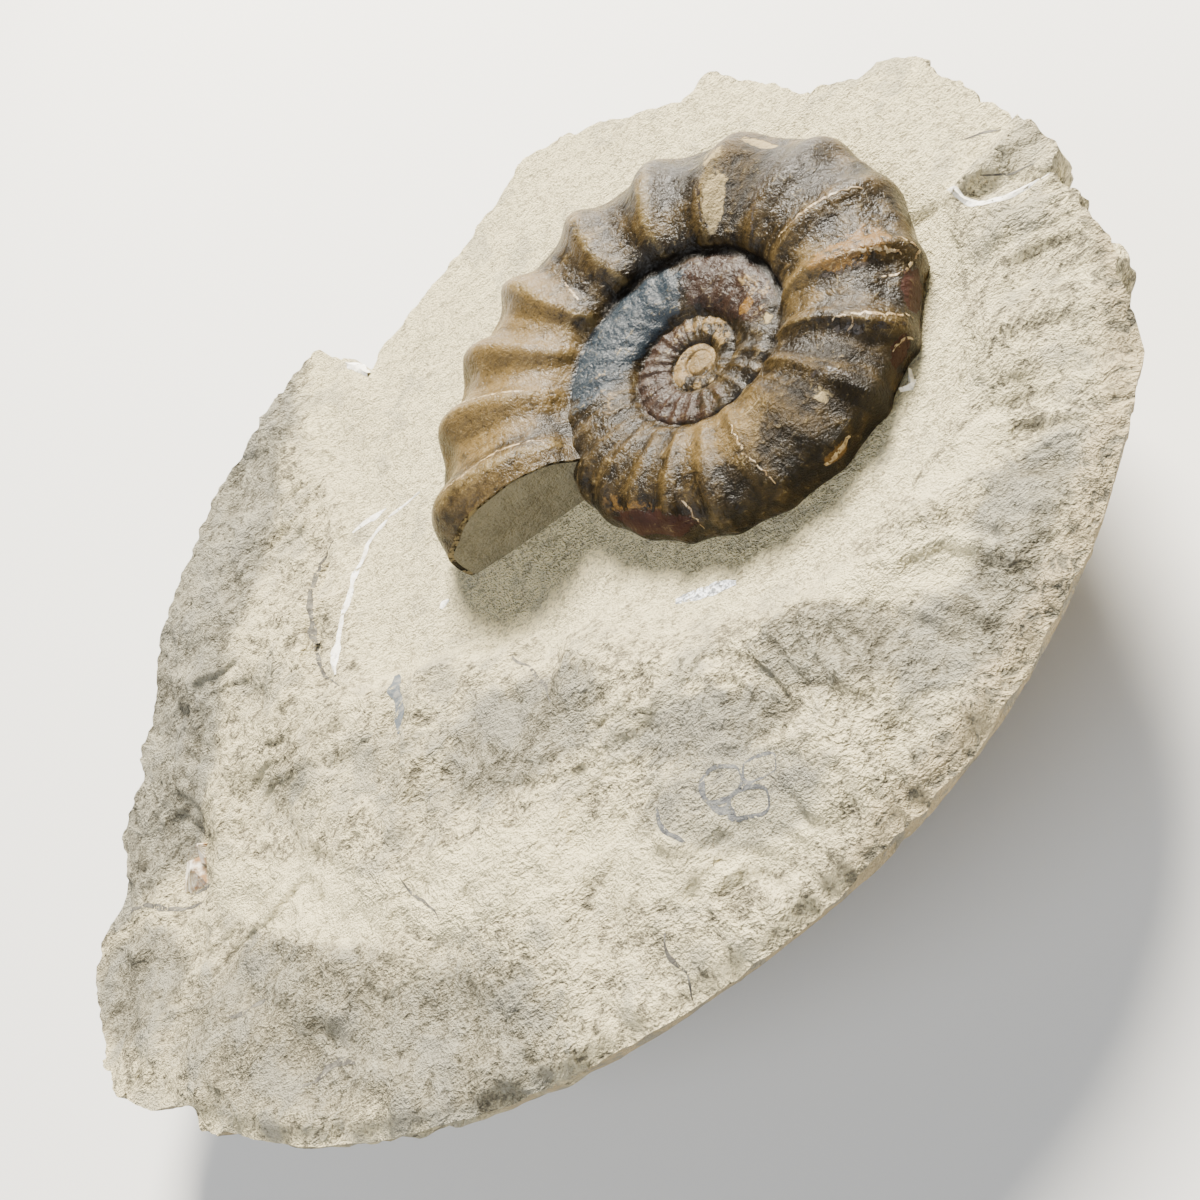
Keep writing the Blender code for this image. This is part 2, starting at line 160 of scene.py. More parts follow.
class Field:
    """A number or vector inside a material, which can be added and multiplied like a plain one."""

    def __init__(self, graph: "Graph", socket: bpy.types.NodeSocket) -> None:
        """Wraps an output socket of the graph."""
        self.graph = graph
        self.socket = socket

    def __add__(self, other: "Operand") -> "Field":
        """This plus the other."""
        return self.graph.maths("ADD", self, other)

    def __radd__(self, other: "Operand") -> "Field":
        """The other plus this."""
        return self.graph.maths("ADD", other, self)

    def __sub__(self, other: "Operand") -> "Field":
        """This less the other."""
        return self.graph.maths("SUBTRACT", self, other)

    def __rsub__(self, other: "Operand") -> "Field":
        """The other less this."""
        return self.graph.maths("SUBTRACT", other, self)

    def __mul__(self, other: "Operand") -> "Field":
        """This times the other."""
        return self.graph.maths("MULTIPLY", self, other)

    def __rmul__(self, other: "Operand") -> "Field":
        """The other times this."""
        return self.graph.maths("MULTIPLY", other, self)

    def larger(self, other: "Operand") -> "Field":
        """The larger of two numbers."""
        return self.graph.maths("MAXIMUM", self, other)

    def rise(self, low: float, high: float) -> "Field":
        """The smooth step from 0 at low to 1 at high.

        Args:
            low: The value at which the result is 0.
            high: The value at which the result is 1; it may be the smaller.

        Returns:
            The step, 0 to 1.
        """
        settings = {"interpolation_type": "SMOOTHSTEP"}
        inputs = {"Value": self, "From Min": low, "From Max": high}
        return self.graph.make("ShaderNodeMapRange", settings, inputs)


Operand = Field | float
Colour = tuple[float, float, float]


class Graph:
    """The node tree of one material."""

    def __init__(self, name: str) -> None:
        """Starts a material with the plain shader.

        Args:
            name: The material's name.
        """
        self.material = bpy.data.materials.new(name)
        self.material.use_nodes = True
        self.tree = self.material.node_tree
        self.shader = self.tree.nodes["Principled BSDF"]

    def plug(self, socket: bpy.types.NodeSocket, value: Operand | Sequence[float]) -> None:
        """Links a field to a socket, or sets the socket's own value.

        Args:
            socket: The input socket.
            value: A field, a number, or a colour or vector.
        """
        if isinstance(value, Field):
            self.tree.links.new(value.socket, socket)
        elif isinstance(value, tuple) and len(value) == 3 and socket.type == "RGBA":
            socket.default_value = (*value, 1.0)
        else:
            socket.default_value = value

    def make(
        self,
        kind: str,
        settings: dict[str, object],
        inputs: dict[str | int, object],
        output: str | int = 0,
    ) -> Field:
        """Adds a node.

        Args:
            kind: The node's type.
            settings: Properties to set on the node.
            inputs: Values or fields by input name or number.
            output: The output to hand back.

        Returns:
            The output as a field.
        """
        node = self.tree.nodes.new(kind)
        for key, value in settings.items():
            setattr(node, key, value)
        for key, value in inputs.items():
            self.plug(node.inputs[key], value)
        return Field(self, node.outputs[output])

    def maths(self, operation: str, first: Operand, second: Operand) -> Field:
        """One step of arithmetic."""
        return self.make("ShaderNodeMath", {"operation": operation}, {0: first, 1: second})

    def place(self) -> Field:
        """Object coordinates in millimetres."""
        spot = self.make("ShaderNodeTexCoord", {}, {}, "Object")
        return self.make("ShaderNodeVectorMath", {"operation": "SCALE"}, {0: spot, "Scale": 1 / MM})

    def warped(self, place: Field, scale: float, reach: float) -> Field:
        """A place pushed about by up to half of reach, for veins and flakes that wander.

        Args:
            place: The place to start from, in millimetres.
            scale: Swirls for each millimetre.
            reach: The size of the push in millimetres.

        Returns:
            The place pushed about.
        """
        inputs = {"Vector": place, "Scale": scale, "Detail": 2.0}
        push = self.make("ShaderNodeTexNoise", {}, inputs, "Color")
        settings = {"operation": "MULTIPLY_ADD"}
        return self.make("ShaderNodeVectorMath", settings, {0: push, 1: (reach, reach, reach), 2: place})

    def stretched(self, place: Field, scale: Colour, turn: float = 0.0) -> Field:
        """A place turned about Z and scaled along each axis.

        Args:
            place: The place to start from, in millimetres.
            scale: The scale along each axis.
            turn: The turn about Z in radians.

        Returns:
            The new place.
        """
        settings = {"vector_type": "TEXTURE"}
        turned = self.make("ShaderNodeMapping", settings, {"Vector": place, "Rotation": (0.0, 0.0, turn)})
        return self.make("ShaderNodeVectorMath", {"operation": "MULTIPLY"}, {0: turned, 1: scale})

    def noise(self, place: Field, scale: float, detail: float = 3.0, rough: float = 0.55) -> Field:
        """Fractal noise, 0 to 1, with lumps of 1 / scale."""
        inputs = {"Vector": place, "Scale": scale, "Detail": detail, "Roughness": rough}
        return self.make("ShaderNodeTexNoise", {}, inputs, "Fac")

    def along(self, scale: Colour) -> Field:
        """Place on the shell, as turns back from the mouth and round the section, scaled."""
        spot = self.make("ShaderNodeUVMap", {"uv_map": COIL_UV}, {})
        return self.make("ShaderNodeVectorMath", {"operation": "MULTIPLY"}, {0: spot, 1: scale})

    def tint(self, name: Tint) -> Field:
        """A vertex attribute of the mesh."""
        return self.make("ShaderNodeAttribute", {"attribute_name": name.value}, {}, "Fac")

    def mix(self, base: Field | Colour, over: Field | Colour, share: Operand) -> Field:
        """One colour laid over another."""
        settings = {"data_type": "RGBA"}
        return self.make("ShaderNodeMix", settings, {0: share, 6: base, 7: over}, 2)

    def bump(self, height: Operand) -> Field:
        """Relief from a height in millimetres."""
        inputs = {"Height": height, "Distance": MM, "Strength": 1.0}
        return self.make("ShaderNodeBump", {}, inputs, "Normal")

    def finish(self, **inputs: object) -> bpy.types.Material:
        """Sets the shader's inputs, with spaces of their names as underscores.

        Args:
            inputs: Values or fields by input name.

        Returns:
            The finished material.
        """
        for key, value in inputs.items():
            self.plug(self.shader.inputs[key.replace("_", " ")], value)
        return self.material


# Finishes

@dataclass(frozen=True)
class Limestone:
    """Pale air-abraded stone near the shell, mottled split stone elsewhere, a browner weathered skin."""

    cut: Colour = (0.88, 0.78, 0.48)
    cut_dark: Colour = (0.44, 0.385, 0.24)
    split: Colour = (0.82, 0.72, 0.445)
    split_dark: Colour = (0.24, 0.213, 0.145)
    deep: Colour = (0.085, 0.076, 0.053)
    stain: Colour = (0.125, 0.114, 0.085)
    slope: Colour = (0.31, 0.295, 0.24)
    skin: Colour = (0.52, 0.42, 0.25)

    def build(self) -> bpy.types.Material:
        """Makes the material.

        Returns:
            The material.
        """
        g = Graph("limestone")
        place = g.place()
        drift = g.warped(place, 0.35, 2.4)
        broad = g.noise(place, 0.10, 2.0, 0.6)
        middle = g.noise(drift, 0.30, 4.0, 0.58)
        small = g.noise(drift, 1.15, 3.0, 0.62)
        fibres = g.noise(g.stretched(place, (0.8, 1.6, 1.2), math.radians(-10)), 2.4, 3.0, 0.68)
        dust = g.noise(place, 5.5, 2.0, 0.7)

        tone = middle * 0.26 + small * 0.26 + fibres * 0.28 + dust * 0.20
        patches = broad * 0.4 + middle * 0.6
        split = g.mix(self.split_dark, self.split, tone.rise(0.425, 0.535))
        grey = (g.tint(Tint.STAIN) + (middle - 0.5) * 1.2 + (small - 0.5) * 0.5).rise(0.25, 0.75)
        split = g.mix(split, g.mix(self.stain, self.slope, tone.rise(0.44, 0.58)), grey * 0.8)
        split = g.mix(split, self.slope, patches.rise(0.49, 0.60) * 0.6)
        slope = (g.tint(Tint.SLOPE) + (middle - 0.5) * 0.9).rise(0.3, 0.8)
        split = g.mix(split, g.mix(self.stain, self.slope, tone.rise(0.42, 0.55)), slope * 0.82)
        split = g.mix(split, self.deep, (fibres * 0.4 + small * 0.6).rise(0.43, 0.35) * 0.75)

        strokes = dust * 0.4 + fibres * 0.35 + small * 0.25
        cut = g.mix(self.cut_dark, self.cut, strokes.rise(0.415, 0.535))
        cut = g.mix(cut, self.split_dark, (fibres * 0.5 + middle * 0.5).rise(0.42, 0.34) * 0.5)
        cut = g.mix(cut, self.slope, patches.rise(0.53, 0.62) * 0.4)
        edge = g.tint(Tint.CUT) + (middle - 0.5) * 1.1 + (small - 0.5) * 0.5
        cut_share = edge.rise(0.25, 0.75)
        stone = g.mix(split, cut, cut_share)
        pale = g.tint(Tint.PALE) + (middle - 0.5) * 0.9 + (small - 0.5) * 0.4
        bright = g.mix(self.cut_dark, self.cut, tone.rise(0.38, 0.48))
        stone = g.mix(stone, bright, pale.rise(0.25, 0.7) * 0.85)
        smooth = (g.tint(Tint.CELLS) + (small - 0.5) * 0.4).rise(0.3, 0.6)
        stone = g.mix(stone, g.mix(self.stain, self.slope, dust.rise(0.3, 0.5)), smooth * 0.7)
        warm = (g.tint(Tint.TAN) + (middle - 0.5) * 0.8 + (small - 0.5) * 0.5).rise(0.3, 0.9)
        stone = g.mix(stone, g.mix(self.stain, self.skin, small.rise(0.4, 0.52)), warm * 0.7)
        rim = (g.tint(Tint.RIM) + (middle - 0.5) * 0.5).rise(0.4, 0.7)
        worn = (small * 0.6 + middle * 0.4).rise(0.47, 0.58)
        stone = g.mix(stone, g.mix(self.skin, self.slope, worn * 0.8), rim)

        lively = g.noise(place, 0.16, 1.0, 0.5).rise(0.38, 0.62) * 0.75 + 0.45
        rough = (1.0 - cut_share * 0.8) * (1.0 - smooth * 0.35)
        height = (middle * 2.0 + small * 1.25) * rough * lively + small * 0.2
        height = height + fibres * (lively * 0.22 + 0.18) + dust * 0.62
        return g.finish(Base_Color=stone, Roughness=0.95, Normal=g.bump(height), Specular_IOR_Level=0.2)


@dataclass(frozen=True)
class FossilShell:
    """Waxed calcite shell: dark brown, honey towards the mouth, blue-grey and purple further in."""

    dark: Colour = (0.010, 0.007, 0.0035)
    brown: Colour = (0.064, 0.041, 0.0135)
    # Colour of the painted highlight along the rib crests.
    crest: Colour = (0.185, 0.135, 0.055)
    honey: Colour = (0.165, 0.108, 0.038)
    ochre: Colour = (0.17, 0.090, 0.022)
    bare: Colour = (0.036, 0.010, 0.005)
    pale: Colour = (0.38, 0.295, 0.15)
    blue: Colour = (0.020, 0.029, 0.038)
    tan: Colour = (0.21, 0.137, 0.052)
    plum: Colour = (0.028, 0.015, 0.010)
    # Near black, painted as shade in the seams between whorls.
    seam_shade: Colour = (0.005, 0.004, 0.003)

    def build(self) -> bpy.types.Material:
        """Makes the material.

        Returns:
            The material.
        """
        g = Graph("fossil shell")
        place = g.place()
        broad = g.noise(place, 0.24, 2.0, 0.6)
        lumps = g.noise(g.warped(place, 0.6, 1.2), 0.95, 5.0, 0.64)
        fine = g.noise(place, 3.6, 3.0, 0.7)
        lines = g.noise(g.along((110.0, 3.0, 1.0)), 1.0, 3.0, 0.6)
        scratch = g.noise(g.along((9.0, 170.0, 1.0)), 1.0, 2.0, 0.5)
        ragged = (lumps - 0.5) * 1.5 + (fine - 0.5) * 0.6

        def laid(base: Field, over: Colour, name: Tint, share: float) -> Field:
            """Lays a colour over the zone of a tint, with a ragged border."""
            return g.mix(base, over, (g.tint(name) + ragged).rise(0.38, 0.58) * share)

        crest = g.tint(Tint.CREST)
        tone = broad * 0.25 + lumps * 0.45 + lines * 0.30
        # The crests are made a little lighter here: painted highlight.
        shell = g.mix(self.dark, self.brown, (tone + (crest - 0.4) * 0.12).rise(0.38, 0.62))
        honey = (g.tint(Tint.HONEY) + (lumps - 0.5) * 0.7).rise(0.3, 0.8)
        shell = g.mix(shell, self.honey, honey * (lines * 0.8 + 0.25))
        shell = laid(shell, self.plum, Tint.PLUM, 0.85)
        shell = laid(shell, self.blue, Tint.BLUE, 0.92)
        shell = laid(shell, self.tan, Tint.TAN, 0.75)
        shell = laid(shell, self.dark, Tint.DARK, 0.8)
        shell = laid(shell, self.ochre, Tint.OCHRE, 0.75)
        # Painted highlight: the rib crests are lightened with the crest colour.
        crest_highlight = (crest + (lumps - 0.5) * 0.5 + (fine - 0.5) * 0.4).rise(0.85, 1.10)
        shell = g.mix(shell, self.crest, crest_highlight * 0.5)
        shell = laid(shell, self.pale, Tint.PALE, 0.8)
        shell = laid(shell, self.bare, Tint.BARE, 0.95)
        worn = fine * 0.55 + lumps * 0.45
        shell = g.mix(shell, self.pale, worn.rise(0.57, 0.66) * 0.35)
        shell = g.mix(shell, self.dark, worn.rise(0.45, 0.37) * 0.7)
        shell = g.mix(shell, self.pale, scratch.rise(0.64, 0.70) * lumps.rise(0.5, 0.6) * 0.4)
        # Painted shade: the seams between whorls are darkened towards near black.
        shell = g.mix(shell, self.seam_shade, (g.tint(Tint.SEAM) + (fine - 0.5) * 0.3).rise(0.35, 0.8) * 0.9)

        flakes = (g.tint(Tint.PALE).larger(g.tint(Tint.BARE)) + ragged).rise(0.42, 0.55)
        rough = g.tint(Tint.ROUGH)
        height = lumps * (rough + 0.45) * 0.6 + fine * (rough + 0.45) * 0.2
        height = height + lines * 0.03 + scratch * 0.02 - flakes * 0.14
        gloss = 0.19 + lumps * 0.16 + rough * 0.2 + flakes * 0.3
        return g.finish(Base_Color=shell, Roughness=gloss, Normal=g.bump(height), Specular_IOR_Level=0.22)


@dataclass(frozen=True)
class Sediment:
    """Fine olive-grey mud rock that fills the mouth."""

    light: Colour = (0.26, 0.235, 0.16)
    dark: Colour = (0.165, 0.146, 0.098)

    def build(self) -> bpy.types.Material:
        """Makes the material.

        Returns:
            The material.
        """
        g = Graph("mouth sediment")
        place = g.place()
        lumps = g.noise(place, 0.5, 4.0, 0.6)
        fine = g.noise(place, 5.0, 3.0, 0.65)
        colour = g.mix(self.light, self.dark, (lumps * 0.5 + fine * 0.5).rise(0.42, 0.62))
        height = lumps * 0.5 + fine * 0.16
        return g.finish(Base_Color=colour, Roughness=0.8, Normal=g.bump(height), Specular_IOR_Level=0.3)


@dataclass(frozen=True)
class Plain:
    """One colour with a little unevenness, for veins, cracks, cells, worn edges, chips of shell, painted
    highlights along rib crests and painted shadows under them.

    The share called breaks says how much of the surface is see-through, so that a line comes and goes.
    """

    name: str
    colour: Colour
    other: Colour
    roughness: float = 0.7
    lump: float = 1.5
    breaks: float = 0.0

    def build(self) -> bpy.types.Material:
        """Makes the material.

        Returns:
            The material.
        """
        g = Graph(self.name)
        place = g.place()
        lumps = g.noise(place, self.lump, 3.0, 0.6)
        colour = g.mix(self.colour, self.other, lumps.rise(0.4, 0.62))
        inputs: dict[str, object] = {"Base_Color": colour, "Roughness": self.roughness}
        inputs["Normal"] = g.bump(lumps * 0.2)
        if self.breaks > 0:
            worn = g.noise(place, self.lump * 1.3, 3.0, 0.65)
            inputs["Alpha"] = worn.rise(0.5 * self.breaks + 0.24, 0.5 * self.breaks + 0.32)
        return g.finish(**inputs)


# Mesh building

class Form:
    """A mesh under construction, in millimetres."""

    def __init__(self, name: str) -> None:
        """Starts an empty mesh for a piece of that name."""
        self.name = name
        self.mesh = bmesh.new()

    def tint_layer(self, name: Tint) -> bmesh.types.BMLayerItem:
        """The vertex layer of an attribute, made when first asked for."""
        layers = self.mesh.verts.layers.float
        return layers.get(name.value) or layers.new(name.value)

    def sheet(self, rows: int, columns: int) -> Rows:
        """Adds a grid of quads.

        Args:
            rows: How many rows of vertices it has.
            columns: How many vertices each row has.

        Returns:
            The vertices, row by row.
        """
        made = bmesh.ops.create_grid(self.mesh, x_segments=columns - 1, y_segments=rows - 1, size=1.0)
        verts = made["verts"]
        return [verts[i:i + columns] for i in range(0, len(verts), columns)]

    def disc(self, counts: Sequence[int]) -> Rows:
        """Adds rings of quads from the outside inwards and returns their vertices ring by ring.

        Args:
            counts: How many vertices each ring has: as many as the ring before it, or half as many.

        Returns:
            The rings. Where the count halves, every second vertex of the last full ring is merged.
        """
        rings: Rows = []
        merged: dict[Vert, Vert] = {}
        for count in sorted(set(counts), reverse=True):
            sheet = self.sheet(counts.count(count) + bool(rings), count + 1)
            merged.update({row[-1]: row[0] for row in sheet})
            if rings:
                even, odd = rings[-1][::2], rings[-1][1::2]
                merged.update(zip(odd, even))
                merged.update(zip(sheet[0], [*even, even[0]]))
                rings[-1] = even
                sheet = sheet[1:]
            rings += [row[:-1] for row in sheet]
        bmesh.ops.weld_verts(self.mesh, targetmap=merged)
        return rings

    def done(self, material: bpy.types.Material, slot: Slot, *nodes: str) -> bpy.types.Object:
        """Turns the mesh into a piece of the scene.

        Args:
            material: The piece's material.
            slot: The record's material slot; it is not used.
            nodes: CAD nodes that the piece stands for.

        Returns:
            The new object.
        """
        bmesh.ops.recalc_face_normals(self.mesh, faces=self.mesh.faces)
        bmesh.ops.scale(self.mesh, vec=Vector((MM, MM, MM)), verts=self.mesh.verts)
        data = bpy.data.meshes.new(self.name)
        self.mesh.to_mesh(data)
        self.mesh.free()
        data.materials.append(material)
        data.shade_smooth()
        data.set_sharp_from_angle(angle=SHARP_ANGLE)
        piece = bpy.data.objects.new(self.name, data)
        bpy.context.collection.objects.link(piece)
        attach(piece, "root")
        if nodes:
            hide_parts(*nodes)
        LOG.info("%s: %d faces", self.name, len(data.polygons))
        return piece


# The coil

@dataclass(frozen=True)
class Patch:
    """A place on the shell, in degrees back from the mouth and degrees round the whorl's section."""

    tint: Tint
    back: float
    side: float
    half_back: float
    half_side: float
    strength: float = 1.0

    def value(self, back: float, side: float) -> float:
        """How strongly the patch shows at a place.

        Args:
            back: Degrees back from the mouth.
            side: Degrees round the section.

        Returns:
            The strength, 0 to 1.
        """
        away = math.hypot((back - self.back) / self.half_back, (side - self.side) / self.half_side)
        return self.strength * rise(1.5, 0.4, away)


@dataclass(frozen=True)
class Coil:
    """The log-spiral shell with its ribs.

    Sizes are in mouth radii, but radius and plug depth are in millimetres. The crests are places in degrees
    back from the mouth. Wear gives how much of the ribs' relief is left at such a place, and relief their
    depth by degrees round the section.
    """

    radius: float = 25.0
    growth: float = 0.1045
    slowing: float = 0.0008
    mouth_angle: float = math.radians(180)
    middle: float = 0.715
    half_depth: float = 0.285
    half_width: float = 0.222
    squareness: float = 0.89
    mouth_slant: float = math.radians(8.5)
    slant_reach: float = math.radians(55)
    inner_side: float = math.pi * 0.87
    seam_groove: float = 0.010
    plug_depth: float = 4.8
    crests: tuple[float, ...] = (
        -8, -33, -53, -71, -93, -115, -139, -165, -187, -208,
        -230, -247, -263, -279, -295, -310, -325, -340, -353)
    inner_spacing: float = 15.0
    wear: Path = (
        (-1600, 0.05), (-1000, 0.1), (-860, 0.35), (-700, 0.5), (-620, 0.4), (-560, 0.12), (-420, 0.10),
        (-365, 0.35), (-290, 0.6), (-265, 0.4), (-247, 0.7), (-230, 0.85), (-208, 0.85), (-187, 0.6),
        (-165, 0.75), (-139, 1.0))
    relief: Path = (
        (-70, 0.0), (-15, 0.030), (15, 0.032), (45, 0.062), (85, 0.046), (115, 0.032), (140, 0.018),
        (158, 0.0))

    def section(self, side: float) -> tuple[float, float]:
        """Radius and height on the whorl's section at an angle in radians, 0 on the venter.

        Args:
            side: The angle round the section, measured from the venter.

        Returns:
            The radius and the height.
        """
        c, s = math.cos(side), math.sin(side)
        out = self.half_depth * math.copysign(abs(c) ** self.squareness, c)
        up = self.half_width * math.copysign(abs(s) ** self.squareness, s)
        return self.middle + out, up

    def seams(self) -> tuple[float, float]:
        """Section angles at which a whorl meets the one inside it and the one outside it.

        Returns:
            The inner seam's angle and the outer seam's, in radians.
        """
        shrink = math.exp(-self.growth * TURN)
        power = 1 / self.squareness
        low, high = 0.0, math.pi / 2
        for _ in range(40):
            outer = (low + high) / 2
            reach, height = (shrink * part for part in self.section(outer))
            across = (abs(reach - self.middle) / self.half_depth) ** power
            along = (height / self.half_width) ** power
            if across ** 2 + along ** 2 < 1:
                low = outer
            else:
                high = outer
        return math.atan2(along, -across), outer

    def rib_phase(self, back: float) -> float:
        """Which rib a place belongs to, as a number that is whole on each crest.

        Args:
            back: Degrees back from the mouth.

        Returns:
            The rib's number, with the share of the way to the next one.
        """
        first, last = self.crests[0], self.crests[-1]
        if back > first:
            return -(back - first) / (first - self.crests[1])
        if back <= last:
            return len(self.crests) - 1 - (back - last) / self.inner_spacing
        index = next(i for i, place in enumerate(self.crests) if place < back)
        return index - (back - self.crests[index]) / (self.crests[index - 1] - self.crests[index])

    def rib(self, back: float, side: float) -> float:
        """Height of the ribbing, 0 to 1, at a place in degrees: sharp crests and broad hollows.

        Args:
            back: Degrees back from the mouth.
            side: Degrees round the section.

        Returns:
            The height.
        """
        lean = ease(((0, 0.0), (60, 0.0), (120, 2.5), (150, 1.0)), side) * rise(-20, -60, back)
        phase = self.rib_phase(back - lean)
        rib_number = round(phase)
        away = 2 * abs(phase - rib_number)
        sharp = rise(-165, -200, back) * rise(-275, -245, back)
        older = phase > rib_number
        away = away ** (1.0 - (0.25 if older else -0.15) * sharp)
        bluntness = 1.6 + 0.9 * sharp + 0.3 * noise.noise(Vector((rib_number * 3.7, 0.4, 0.0)))
        wave = (0.5 + 0.5 * math.cos(math.pi * away)) ** bluntness
        strength = 1.0 + 0.25 * noise.noise(Vector((rib_number * 1.9, side / 50, 5.0)))
        return wave * strength

    def rib_depth(self, back: float, side: float) -> float:
        """How deep the hollows between ribs are."""
        return ease(self.relief, side) * ease(self.wear, back)

    def point(self, back: float, side: float) -> Vector:
        """A point of the shell in millimetres round the coil's centre; angles are in degrees.

        Args:
            back: Degrees back from the mouth.
            side: Degrees round the section.

        Returns:
            The point.
        """
        side_rad = math.radians(side)
        reach, height = self.section(side_rad)
        ahead, behind = self.section(side_rad + 0.01), self.section(side_rad - 0.01)
        normal = Vector((behind[1] - ahead[1], ahead[0] - behind[0])).normalized()
        sink = self.rib_depth(back, side) * (1 - self.rib(back, side))
        sink += self.seam_groove * self.groove(back, side)
        reach += normal.x * sink
        height += normal.y * sink
        turn = math.radians(back)
        lag = self.mouth_slant * rise(-self.slant_reach, 0, turn)
        inner = self.section(self.inner_side)[0]
        turn -= lag * min(max((reach - inner) / (1 - inner), 0.0), 1.0)
        size = math.exp(self.growth * turn)
        if size * reach > 0:
            grown = math.log(size * reach) / self.growth
            size *= math.exp(-self.slowing * grown * grown)
        around = self.mouth_angle + turn
        place = Vector((size * reach * math.cos(around), size * reach * math.sin(around), size * height))
        return place * self.radius

    def groove(self, back: float, side: float) -> float:
        """How much the surface sinks beside the seams, deepest on the far side of the last whorl.

        Args:
            back: Degrees back from the mouth.
            side: Degrees round the section.

        Returns:
            The share, 0 to 2.6.
        """
        deep = 1.0 + 1.6 * rise(-60, -100, back) * rise(-225, -190, back)
        outer = rise(66, 59, side) * rise(52, 59, side) * rise(-340, -380, back)
        return deep * rise(140, 156, side) + outer


@dataclass
class Ammonite:
    """The coiled shell and the sediment in its mouth.

    Stations are the sections of one whorl. The fill share is the size of the sediment face against the
    mouth's rim, and fill lift its height over the cut edge.
    """

    coil: Coil
    stations: int = 540
    whorls: float = 4.1
    flank_points: int = 30
    outside_points: int = 30
    foot_side: float = -40.0
    boss_radius: float = 1.0
    fill_share: float = 0.968
    fill_lift: float = 0.06
    patches: tuple[Patch, ...] = (
        Patch(Tint.HONEY, -46, 85, 34, 80),
        Patch(Tint.HONEY, -4, 85, 12, 80, 0.5),
        Patch(Tint.HONEY, -208, 110, 22, 40, 0.6),
        Patch(Tint.HONEY, -285, 110, 30, 44, 0.7),
        Patch(Tint.PALE, -141, 112, 4.0, 26, 1.0),
        Patch(Tint.PALE, -147, 48, 6, 10, 0.8),
        Patch(Tint.PALE, -136, 75, 4, 14, 0.55),
        Patch(Tint.ROUGH, -144, 95, 12, 55, 0.8),
        Patch(Tint.DARK, -107, 140, 18, 14, 0.9),
        Patch(Tint.DARK, -118, 75, 20, 36, 0.62),
        Patch(Tint.DARK, -165, 75, 17, 40, 0.62),
        Patch(Tint.OCHRE, -205, 74, 8, 40, 0.6),
        Patch(Tint.DARK, -213, 90, 4, 14),
        Patch(Tint.BARE, -218, 10, 6, 18),
        Patch(Tint.BARE, -234, 9, 4, 12),
        Patch(Tint.DARK, -239, 88, 4, 38, 0.8),
        Patch(Tint.DARK, -247, 25, 4, 40, 0.9),
        Patch(Tint.PALE, -252, 62, 2.6, 20, 0.5),
        Patch(Tint.OCHRE, -262, 8, 4, 8, 0.8),
        Patch(Tint.ROUGH, -262, 45, 26, 60, 0.8),
        Patch(Tint.BARE, -318, 24, 16, 22, 0.9),
        Patch(Tint.OCHRE, -325, 40, 18, 20, 0.5),
        Patch(Tint.BLUE, -432, 95, 52, 60),
        Patch(Tint.PLUM, -520, 95, 45, 60),
        Patch(Tint.PLUM, -740, 95, 110, 60, 0.8),
        Patch(Tint.TAN, -385, 110, 20, 22, 0.35),
        Patch(Tint.OCHRE, -549, 104, 6, 18, 0.75),
        Patch(Tint.TAN, -545, 80, 20, 30, 0.4),
        Patch(Tint.PALE, -571, 75, 6, 14, 0.4),
        Patch(Tint.TAN, -880, 90, 60, 40, 0.45),
        Patch(Tint.TAN, -1200, 90, 190, 90, 0.7),
    )

    def __post_init__(self) -> None:
        """Works out the section angles of the seams, in degrees."""
        self.inner, self.outer = (math.degrees(angle) for angle in self.coil.seams())

    def sides(self) -> tuple[list[float], int]:
        """Section angles from the inner seam to the buried foot, and the index of the outer seam.

        Returns:
            The angles in degrees, and the index.
        """
        flank = [self.inner + (self.outer - self.inner) * i / self.flank_points
                 for i in range(self.flank_points + 1)]
        outside = [self.outer + (self.foot_side - self.outer) * i / self.outside_points
                   for i in range(1, self.outside_points + 1)]
        return flank + outside, self.flank_points

    def paint(self, form: Form, vert: Vert, back: float, side: float) -> None:
        """Writes the zones at a place on the shell into the vertex.

        Args:
            form: The mesh that the vertex is in.
            vert: The vertex.
            back: Degrees back from the mouth.
            side: Degrees round the section.
        """
        # Mask of the painted highlight along the rib crests.
        crest = self.coil.rib(back, side) * rise(-10, 25, side) * ease(self.coil.wear, back)
        vert[form.tint_layer(Tint.CREST)] = crest
        # Mask of the painted shade in the seams, following the groove.
        vert[form.tint_layer(Tint.SEAM)] = self.coil.groove(back, side) * 0.5
        values: dict[Tint, float] = {}
        for patch in self.patches:
            values[patch.tint] = max(values.get(patch.tint, 0.0), patch.value(back, side))
        for tint, value in values.items():
            vert[form.tint_layer(tint)] = value

    def shell(self, material: bpy.types.Material) -> tuple[bpy.types.Object, list[Vector]]:
        """Sweeps the shell back from the mouth.

        Args:
            material: The shell's material.

        Returns:
            The new piece and the rim of the mouth.
        """
        form = Form("shell")
        for tint in {Tint.CREST, Tint.SEAM, *(patch.tint for patch in self.patches)}:
            form.tint_layer(tint)
        sides, seam = self.sides()
        steps = round(self.whorls * self.stations)
        rows = form.sheet(self.stations + 1, len(sides) + 1)
        inner = form.sheet(steps - self.stations + 1, seam + 1)
        bmesh.ops.weld_verts(form.mesh, targetmap=dict(zip(inner[0], rows[-1])))
        rows += inner[1:]
        for station, row in enumerate(rows):
            back = -360.0 * station / self.stations
            for vert, side in zip(row, sides):
                vert.co = self.worn(self.coil.point(back, side), back, side)
                self.paint(form, vert, back, side)
            if station <= self.stations:
                row[-1].co = Vector((row[-2].co.x * 0.98, row[-2].co.y * 0.98, -self.coil.plug_depth))
        self.flatten_mouth(rows[0], rows[self.stations][seam:])
        self.chart(form, rows, sides)

